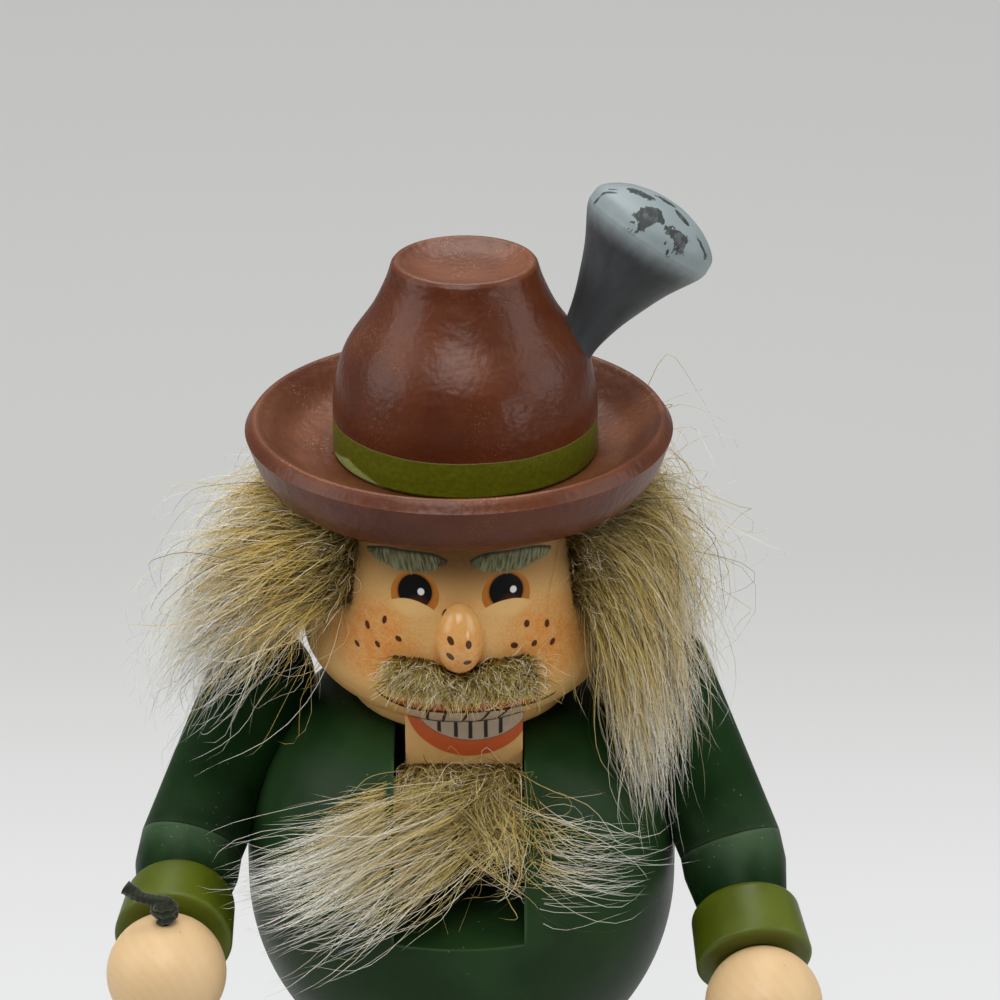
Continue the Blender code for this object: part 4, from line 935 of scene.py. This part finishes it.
# Cord. A thin dark braid that hangs through the drilled hand. A knot pulled tight against the hand
# holds it on top, with its tail standing off, and another ends it below.
cord_radius = 0.00115
cord_low, cord_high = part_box("hand_cord")
hand_centre = hands["right"]
cord_top = Vector((hand_centre.x, hand_centre.y, cord_high.z))
cord_end = Vector((hand_centre.x, hand_centre.y, cord_low.z))
braid = Finish("dark_braid", shine=0.25, Sheen_Weight=0.3, Sheen_Roughness=0.5)
x, y, z = braid.axes()
turn = braid.add("Math", {"operation": "ARCTAN2"}, {0: x, 1: y})
one = ((z * 3.4 + turn * 3).sums("SINE")) * 0.5 + 0.5
other = ((z * 3.4 - turn * 3).sums("SINE")) * 0.5 + 0.5
strand = one.most(other)
fuzz = braid.grain(0.00025, 2)
colour = braid.mix(strand ** 2 * 0.4 + fuzz * 0.6, tint(7, 9, 4), tint(46, 52, 30))
dark_braid = braid.done(colour, 0.85, strand + fuzz * 0.3, 0.00022)
line = bpy.data.curves.new("hand_cord_braid", "CURVE")
line.dimensions, line.bevel_depth, line.bevel_resolution = "3D", cord_radius, 6
line.use_fill_caps = True
run = line.splines.new("POLY")
run.points.add(25)
for k, spot in enumerate(run.points):
    spot.co = (*(cord_top.lerp(cord_end, k / 25) - cord_top), 1)
cord = bpy.data.objects.new("hand_cord_braid", line)
cord.location = cord_top
bpy.context.scene.collection.objects.link(cord)
cord.data.materials.append(dark_braid)
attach(cord, "figure")
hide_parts("hand_cord")


def swept(name, centres, radius, sides=20, swell=lambda share: 1.0):
    """A braided tube along a line of points; swell is its thickness along the line."""
    centres = [Vector(c) for c in centres]
    bm = bmesh.new()
    rings = []
    across, travelled = Vector((0.3, 0.2, 1)), 0.0
    for k, centre in enumerate(centres):
        ahead = (centres[min(len(centres) - 1, k + 1)] - centres[max(0, k - 1)]).normalized()
        across = (across - ahead * across.dot(ahead)).normalized()
        over = ahead.cross(across)
        travelled += (centre - centres[max(0, k - 1)]).length
        ring = []
        for j in range(sides):
            a = 2 * pi * j / sides
            plait = max(sin(travelled * 4800 + a * 2), sin(travelled * 4800 - a * 2))
            r = radius * (1 + 0.17 * plait) * swell(k / (len(centres) - 1))
            ring.append(bm.verts.new(centre + (across * cos(a) + over * sin(a)) * r))
        rings.append(ring)
    banded(bm, rings)
    bm.faces.new(rings[0])
    bm.faces.new(rings[-1])
    return new_piece(name, bm, 70)


def knot_loop(radius, tall, count=120):
    """An overhand knot drawn tight: three lobes that pass over and under each other."""
    return [Vector(((sin(t) + 1.55 * sin(2 * t)) * radius / 2.55,
                    (cos(t) - 1.55 * cos(2 * t)) * radius / 2.55, -sin(3 * t) * tall))
            for t in (2 * pi * k / count for k in range(count + 1))]


low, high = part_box("cord_stop_knot")
knot_middle = Vector((cord_top.x + 0.0002, cord_top.y, low.z + 0.0030))
loops = [knot_middle + Vector(((0.0017 + 0.0002 * sin(3 * t)) * cos(t), 0.0014 * sin(t),
                               -0.0019 + 0.0036 * k / 140))
         for k, t in enumerate(np.linspace(-2.0, 2 * pi * 2.25 - 2.0, 141))]
tail = faired([loops[-1], loops[-1] + Vector((-0.0012, 0.0002, 0.0005)),
               knot_middle + Vector((-0.0046, 0.0010, 0.0022)),
               Vector((low.x + 0.0012, cord_top.y + 0.0026, high.z - 0.0013))], 14)
stop_knot = swept("stop_knot_braid", loops + tail[1:], 0.00116,
                  swell=lambda s: 1.0 if s < 0.93 else 1.0 + 0.25 * (s - 0.93) / 0.07)
fit(stop_knot, dark_braid, "cord", "cord_stop_knot")
low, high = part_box("cord_end_knot")
end_knot = swept("end_knot_braid", [(low + high) / 2 + p for p in knot_loop(0.0020, 0.0010)],
                 0.00095)
fit(end_knot, dark_braid, "cord", "cord_end_knot")

# Dowels and pin. Bare fluted beech pegs hold the figure together out of sight, and a longer one is
# the pin on which the jaw lever turns.
beech = Finish("bare_beech", shine=0.3)
along_grain = beech.grain(0.0006, 3, (1, 1, 0.12))
rays = beech.grain(0.0004, 2, (1, 1, 0.4)).between(0.60, 0.74)
colour = beech.mix(along_grain, tint(196, 160, 112), tint(216, 184, 140))
colour = beech.mix(rays * 0.35, colour, tint(158, 116, 74))
bare_beech = beech.done(colour, 0.68, along_grain + rays, 0.00004)
for name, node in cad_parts.items():
    if "dowel" in name or name == "pivot_pin":
        for held in node.material_slots:
            held.material = bare_beech

# Fur. Real fur on its hide, in strips glued round the head from cheek to cheek, over the lip and
# on the chin. It is olive blond, dark at the hide and grey-white at the tips, and combed outwards.
def fur_finish(name, root, middle, tip, pale=(0.30, 0.84)):
    """Hair coloured from root to tip, which pales between two shares of its length.

    Each hair carries a tone of its own from 0 to 1, and the share of its length along it."""
    hair = Finish(name, shine=0.35)
    tone = hair.add("Attribute", {"attribute_name": "tone"}, output="Fac")
    along = hair.add("Attribute", {"attribute_name": "along"}, output="Fac")
    body = hair.mix(along.between(0.02, 0.30), root, middle)
    body = hair.mix((along + (tone - 0.5) * 0.5).between(*pale), body, tip)
    white = tone.between(0.76, 0.92) * along.between(0.15, 0.5) * 0.8
    body = hair.mix(white, body, tint(250, 246, 232))
    body = hair.mix(tone.between(0.08, 0.048), body, tint(64, 50, 34))
    return hair.done(body, 0.52 + tone * 0.15)


def strands(name, roots, tips, lift_out, lift_down, width, steps, curl, clump, keep_out, seed,
            grown=1.0):
    """Hairs as thin three-sided tapered tubes, drawn in locks towards their guides.

    roots and tips are arrays of points; lift_out bends each hair off its root, and lift_down
    lets its end hang; grown is the share of its full length that a hair has."""
    chance = np.random.RandomState(seed)
    count = len(roots)
    share = np.linspace(0, 1, steps + 1)[None, :, None]
    first = roots + lift_out
    last = tips + lift_down
    line = ((1 - share) ** 3 * roots[:, None] + 3 * (1 - share) ** 2 * share * first[:, None]
            + 3 * (1 - share) * share ** 2 * last[:, None] + share ** 3 * tips[:, None])
    length = np.linalg.norm(tips - roots, axis=1)[:, None, None]
    wild = chance.uniform(0, 1, (count, 1, 1)) ** 2.5
    curl = curl * np.clip(length / 0.022, 0.3, 1.0)
    for wave in (0.8, 1.6, 2.7):
        swing = chance.normal(size=(count, 1, 3)) * curl * (0.6 + 1.6 * wild) / wave
        turn = chance.uniform(0, 2 * pi, (count, 1, 3))
        line += swing * (np.sin(share * pi * 2 * wave + turn) - np.sin(turn)) * share ** 0.5
    order = chance.permutation(count)
    leaders = order[:max(8, count // clump)]
    near = np.argmin(((roots[:, None] - roots[leaders][None]) ** 2).sum(-1)
                     + 0.15 * ((tips[:, None] - tips[leaders][None]) ** 2).sum(-1), axis=1)
    lead = line[leaders][near]
    pull = (share ** 1.3) * chance.uniform(0.1, 0.7, (count, 1, 1)) * (1 - 0.9 * wild)
    line = line + (lead - line) * pull
    line = keep_out(line)
    for smoothing in range(2):
        line[:, 1:-1] = (line[:, :-2] + 2 * line[:, 1:-1] + line[:, 2:]) / 4
    tone = chance.uniform(0, 1, count)
    thick = width * chance.uniform(0.55, 1.15, count)
    ahead = np.gradient(line, axis=1)
    ahead /= np.linalg.norm(ahead, axis=2, keepdims=True) + 1e-12
    side = np.cross(ahead, chance.normal(size=(count, 1, 3)))
    side /= np.linalg.norm(side, axis=2, keepdims=True) + 1e-12
    over = np.cross(ahead, side)
    taper = (1 - 0.72 * share ** 1.6) * thick[:, None, None] / 2
    corners = [line + (side * cos(a) + over * sin(a)) * taper for a in (0, 2 * pi / 3, 4 * pi / 3)]
    points = np.stack(corners, axis=2)[:, :-1]
    points = np.concatenate([points.reshape(count, -1, 3), line[:, -1:]], axis=1)
    per = points.shape[1]
    turns = [(j, (j + 1) % 3) for j in range(3)]
    quads = [(3 * k + a, 3 * k + b, 3 * k + b + 3, 3 * k + a + 3)
             for k in range(steps - 1) for a, b in turns]
    caps = [(3 * (steps - 1) + a, 3 * (steps - 1) + b, per - 1) for a, b in turns] + [(2, 1, 0)]
    first_point = (np.arange(count) * per)[:, None, None]
    quads = (np.array(quads)[None] + first_point).reshape(-1, 4)
    caps = (np.array(caps)[None] + first_point).reshape(-1, 3)
    mesh = bpy.data.meshes.new(name)
    mesh.vertices.add(count * per)
    mesh.vertices.foreach_set("co", points.reshape(-1).astype(np.float32))
    loops = np.concatenate([quads.reshape(-1), caps.reshape(-1)])
    starts = np.concatenate([np.arange(len(quads)) * 4,
                             len(quads) * 4 + np.arange(len(caps)) * 3])
    mesh.loops.add(len(loops))
    mesh.loops.foreach_set("vertex_index", loops.astype(np.int32))
    mesh.polygons.add(len(quads) + len(caps))
    mesh.polygons.foreach_set("loop_start", starts.astype(np.int32))
    mesh.update(calc_edges=True)
    mesh.validate()
    mesh.shade_smooth()
    along = np.concatenate([np.repeat(share[0, :-1, 0], 3), [1.0]])
    along = ((np.ones(count) * grown)[:, None] * along).reshape(-1)
    tone = np.repeat(tone, per)
    for key, values in (("along", along), ("tone", tone)):
        layer = mesh.attributes.new(key, "FLOAT", "POINT")
        layer.data.foreach_set("value", values.astype(np.float32))
    # The UV map lays tone across its picture and the share along the hair up it, with a narrow
    # strip for each hair.
    held = np.zeros(len(mesh.loops), np.int32)
    mesh.loops.foreach_get("vertex_index", held)
    slip = np.where(held % per % 3 == 0, 0.0, 0.004)
    spots = np.stack([0.01 + 0.97 * tone[held] + slip, 0.01 + 0.98 * along[held]], 1)
    mesh.uv_layers.new(name="OFBake").uv.foreach_set("vector", spots.astype(np.float32).reshape(-1))
    piece = bpy.data.objects.new(name, mesh)
    bpy.context.scene.collection.objects.link(piece)
    return piece


def off_the_rod(line, start, end, radius):
    """Pushes points out of a round rod that runs from start to end."""
    along, length = np.array((end - start).normalized()), (end - start).length
    start = np.array(start)
    rise = np.clip((line - start) @ along, 0, length)
    off = line - (start + rise[..., None] * along)
    far = np.linalg.norm(off, axis=-1)
    short = np.clip(radius - far, 0, None)
    return line + off / (far[..., None] + 1e-9) * short[..., None]


slot_side = slot_width / 2 - 0.0006


def off_the_figure(line):
    """Keeps hair out of the head, the hat brim, the belly, the arms and the hands."""
    root = line[:, :1].copy()
    height = line[..., 2]
    flat = np.hypot(line[..., 0], line[..., 1])
    rise = height - head_z
    on_head = (rise > 0) & (rise < head_tall)
    need = np.where(on_head, head_at(rise) + 0.0004, 0)
    rise = height - brim_z
    by_brim = (rise > -0.0002) & (rise < lip_tall)
    need = np.where(by_brim, np.interp(rise, [0, 0.0011, 0.0055, 0.0122, 0.0147],
                                       [0.039, 0.0425, 0.0456, 0.048, 0.046]) + 0.0004, need)
    rise = height - belly_z
    on_belly = (rise > -0.045) & (rise < shoulder_height)
    inside = np.clip((slot_side - abs(line[..., 0])) / 0.007, 0, 1)
    inside = np.where((height > slot_floor + 0.0006) & (line[..., 1] < 0), inside, 0)
    need = np.where(on_belly, belly_at(rise) + 0.0005 - 0.0225 * inside, need)
    grow = np.clip(need / (flat + 1e-9), 1, None)
    line = line.copy()
    line[..., :2] *= grow[..., None]
    for side, elbow in elbows.items():
        line = off_the_rod(line, shoulders[side], elbow, sleeve_radius + 0.0005)
        line = off_the_rod(line, elbow, hands[side], 0.0138)
    line[:, :1] = root
    return line


def outward(angle):
    """Level directions round the head, angles in degrees from the face towards its left."""
    a = np.radians(angle)
    return np.stack([np.sin(a), -np.cos(a), np.zeros(len(a))], -1)


def round_head(angle, height):
    """Points on the head, just off its paint."""
    spots = outward(angle) * (head_at(height) + 0.0003)[:, None]
    spots[:, 2] = head_z + height
    return spots


# Where the combed ends come to lie, by the angle of the root and by its height on the head: the
# figure's right side stands out wide, the left side hangs lower over the shoulder.
comb_angles = [-180, -150, -120, -85, -47, 47, 85, 120, 150, 180]
comb_heights = [0.020, 0.036, 0.052]
ends_mm = np.array([
    [(0, 52, 4), (0, 58, 11), (0, 60, 24)],
    [(-24, 50, -15), (-30, 54, 1), (-33, 52, 22)],
    [(-50, 28, -6), (-54, 30, 9), (-50, 26, 32)],
    [(-62, -6, -7), (-66, -4, 4), (-59, 8, 32)],
    [(-58, -16, 0), (-65, -11, 2), (-64, -4, 20)],
    [(38, -31, -11), (43, -28, -15), (50, -14, -2)],
    [(46, -18, -12), (50, -12, -4), (53, 4, 25)],
    [(46, 28, -6), (50, 30, 10), (50, 26, 36)],
    [(24, 50, -15), (30, 54, 1), (33, 52, 22)],
    [(0, 52, 4), (0, 58, 11), (0, 60, 24)]], float) / 1000


def combed_ends(angle, height):
    """The end of each hair, read between the ends of the comb's table."""
    a = np.interp(angle, comb_angles, range(len(comb_angles)))
    h = np.interp(height, comb_heights, range(len(comb_heights)))
    a0, h0 = np.clip(a.astype(int), 0, len(comb_angles) - 2), np.clip(h.astype(int), 0, 1)
    fa, fh = (a - a0)[:, None], (h - h0)[:, None]
    found = ((1 - fa) * ((1 - fh) * ends_mm[a0, h0] + fh * ends_mm[a0, h0 + 1])
             + fa * ((1 - fh) * ends_mm[a0 + 1, h0] + fh * ends_mm[a0 + 1, h0 + 1]))
    return found + np.array([0, 0, head_z])


hair_finish = fur_finish("head_fur", tint(98, 78, 32), tint(212, 186, 108), tint(252, 249, 238))
paler_finish = fur_finish("head_fur_paler", tint(102, 82, 34), tint(218, 188, 98),
                          tint(255, 254, 246), (0.30, 0.76))
fleece_finish = fur_finish("head_fleece", tint(60, 44, 20), tint(144, 120, 64), tint(178, 158, 104))
low_edge, high_edge, fleece_count = 0.0215, 0.0515, 2600
hair_width, hair_steps = 0.00021, 13
for name, start, end, count, seed in (
        ("fur_left", 45, 124, 5400, 31), ("fur_right", -124, -41, 5400, 32),
        ("fur_back", 126, 234, 4700, 33)):
    chance = np.random.RandomState(seed)
    angle = start + (end - start) * chance.uniform(0, 1, count)
    wrapped = np.where(angle > 180, angle - 360, angle)
    lowest = low_edge + 0.0110 * np.clip((60 - abs(wrapped)) / 13, 0, 1)
    if name == "fur_right":
        lowest = np.maximum(lowest, low_edge + 0.0125 * np.clip((wrapped + 124) / 15, 0, 1))
    height = lowest + (high_edge - lowest) * chance.uniform(0, 1, count) ** 0.85
    roots = round_head(wrapped, height)
    tips = combed_ends(wrapped, height)
    grown = np.where(chance.uniform(0, 1, count) < 0.58, chance.uniform(0.32, 0.80, count),
                     chance.uniform(0.76, 1.12, count))
    tips = roots + (tips - roots) * grown[:, None] + chance.normal(size=(count, 3)) * (
        np.array([0.0032, 0.0036, 0.0042]) * (0.6 + 0.5 * grown[:, None]))
    sag = chance.uniform(0, 1, count) < 0.15
    tips[sag, 2] -= chance.uniform(0.003, 0.019, count)[sag]
    stray = chance.uniform(0, 1, count) < 0.03
    tips[stray] += (tips - roots)[stray] * chance.uniform(0.0, 0.2, (count, 1))[stray]
    tips[stray] += chance.normal(size=(count, 3))[stray] * 0.007 + np.array([0, 0, 0.008])
    over_lever = (abs(tips[:, 0]) < 0.0165) & (tips[:, 1] > 0.030)
    lever_room = head_z + 0.009 + 0.004 * chance.uniform(0, 1, count)
    tips[over_lever, 2] = np.maximum(tips[over_lever, 2], lever_room[over_lever])
    away, up = outward(wrapped), np.array([0, 0, 1])
    lift_out = away * (chance.uniform(0.009, 0.020, count) * grown)[:, None] + up * 0.003
    lift_down = up * (chance.uniform(0.005, 0.015, count) * grown)[:, None] - away * 0.003
    frizz, paleness = (0.0027, 0.86) if name == "fur_left" else (0.0017, 1.0)
    fur = strands(name, roots, tips, lift_out, lift_down, hair_width, hair_steps, frizz, 20,
                  off_the_figure, seed, np.minimum(grown, 1.0) * paleness)
    node = name.replace("fur", "hair")
    fit(fur, paler_finish if name == "fur_right" else hair_finish, "fur", node)
    roots, away = roots[:fleece_count], away[:fleece_count]
    tips = roots + away * 0.007 + chance.normal(size=(fleece_count, 3)) * 0.0032
    fleece = strands(name + "_fleece", roots, tips, away * 0.003, away * 0.0, 0.00026, 6, 0.0012, 6,
                     off_the_figure, seed + 10)
    fit(fleece, fleece_finish, "fur", node)

# Moustache. A strip of the same fur, clipped short and glued over the lip, round the foot of the
# nose.
chance = np.random.RandomState(41)
count = 2900
across = chance.uniform(-1, 1, count)
angle = 1.4 + 24.5 * across
top = 0.0256 - 0.0006 * across ** 2 - 0.0036 * np.exp(-(angle / 6.5) ** 2)
bottom = 0.0176 - 0.0006 * across + 0.0006 * np.clip(abs(across) - 0.7, 0, 1) / 0.3
height = bottom + (top - bottom) * chance.uniform(0, 1, count)
roots = round_head(angle, height)
away, aside = outward(angle), outward(angle + 90)
tips = (roots + away * chance.uniform(0.0012, 0.0044, count)[:, None]
        + aside * (chance.normal(0, 0.0026, count) + 0.0016 * across)[:, None]
        + up * chance.normal(-0.0026, 0.0018, count)[:, None])
moustache_finish = fur_finish("moustache_fur", tint(48, 34, 8), tint(152, 124, 36),
                              tint(220, 200, 128))
fur = strands("fur_moustache", roots, tips, away * 0.003, away * 0.0008 + up * 0.001, 0.0002, 7,
              0.0015, 8, off_the_figure, 41)
fit(fur, moustache_finish, "fur", "moustache")

# Beard. A tuft of long fur glued across the chin. Its fleece moves with the jaw, while the long
# ends lie on the belly, swept to both sides, and stay there as the mouth opens.
chance = np.random.RandomState(51)
count = 3000
root_top, root_bottom = hinge.z + 0.0226, hinge.z + 0.0070
across = chance.uniform(-1, 1, count)
rise = chance.uniform(0, 1, count) ** 0.8
roots = np.stack([lever_middle + across * (lever_width / 2 - 0.0006),
                  np.full(count, hinge.y - chin - 0.0002),
                  root_bottom + (root_top - root_bottom) * rise], -1)
sweep = chance.uniform(0, 1, count)
to_right = sweep < 0.78 - 0.14 * across
to_left = ~to_right & (sweep > 0.962 - 0.04 * across)
fan = np.clip(1 - rise + chance.normal(0, 0.22, count), 0, 1.15)
ends_right = np.stack([-0.0500 + 0.018 * fan ** 1.5, -0.040 - 0.014 * fan,
                       head_z - 0.0240 - 0.0145 * fan + chance.normal(0, 0.0032, count)], -1)
ends_left = np.stack([0.0500 - 0.012 * fan, -0.034 - 0.012 * fan,
                      head_z - 0.0175 - 0.0125 * fan + chance.normal(0, 0.004, count)], -1)
ends_middle = np.stack([lever_middle + 0.0065 + 0.004 * chance.normal(size=count),
                        np.full(count, -0.050),
                        head_z - 0.0235 + chance.normal(0, 0.003, count)], -1)
tips = np.where(to_right[:, None], ends_right, np.where(to_left[:, None], ends_left, ends_middle))
grown = np.where(chance.uniform(0, 1, count) < 0.74, chance.uniform(0.16, 0.66, count),
                 chance.uniform(0.60, 1.10, count))
grown = np.where(to_left, chance.uniform(0.6, 1.1, count), grown)
tips = roots + (tips - roots) * grown[:, None] + chance.normal(size=(count, 3)) * 0.0020
long_one = (chance.uniform(0, 1, count) < 0.06) & to_right
tips[long_one] += (np.array([0.002, -0.004, -0.017])
                   * chance.uniform(0.1, 1, (count, 1))[long_one])
lift_out = np.array([-0.003, -0.0100, -0.0025]) + chance.normal(size=(count, 3)) * 0.002
lift_down = np.where(to_left[:, None], np.array([-0.016, -0.010, -0.001]),
                     np.array([0.013, -0.009, 0.0075]))
beard_finish = fur_finish("beard_fur", tint(110, 88, 36), tint(216, 192, 114), tint(255, 254, 246))
beard = strands("fur_beard", roots, tips, lift_out * grown[:, None], lift_down * grown[:, None],
                hair_width, hair_steps, 0.0014, 24, off_the_figure, 51,
                np.minimum(grown, 1.0) * np.where(to_right | to_left, 1.0, 0.55))
beard.data.materials.append(beard_finish)
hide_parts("beard")
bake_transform(beard)
tips = roots + np.array([-0.0010, -0.0060, -0.0040]) + chance.normal(size=(count, 3)) * 0.0030
jaw_swing = radians(30)


def in_the_slot(line):
    """Keeps the fleece between the slot's walls, and over its floor when the jaw hangs open."""
    line = line.copy()
    line[..., 0] = np.clip(line[..., 0], -slot_side, slot_side)
    room = slot_floor + 0.0007 - hinge.z + (hinge.y - line[..., 1]) * sin(jaw_swing)
    line[..., 2] = np.maximum(line[..., 2], hinge.z + room / cos(jaw_swing))
    return line


chin_fleece = fur_finish("chin_fleece", tint(76, 58, 26), tint(176, 150, 80), tint(216, 198, 140))
fleece = strands("fur_beard_fleece", roots, tips, np.array([0, -0.003, 0]), up * 0.001, 0.00022, 8,
                 0.0024, 6, in_the_slot, 61)
fit(fleece, chin_fleece, "fur", "beard", body="jaw")
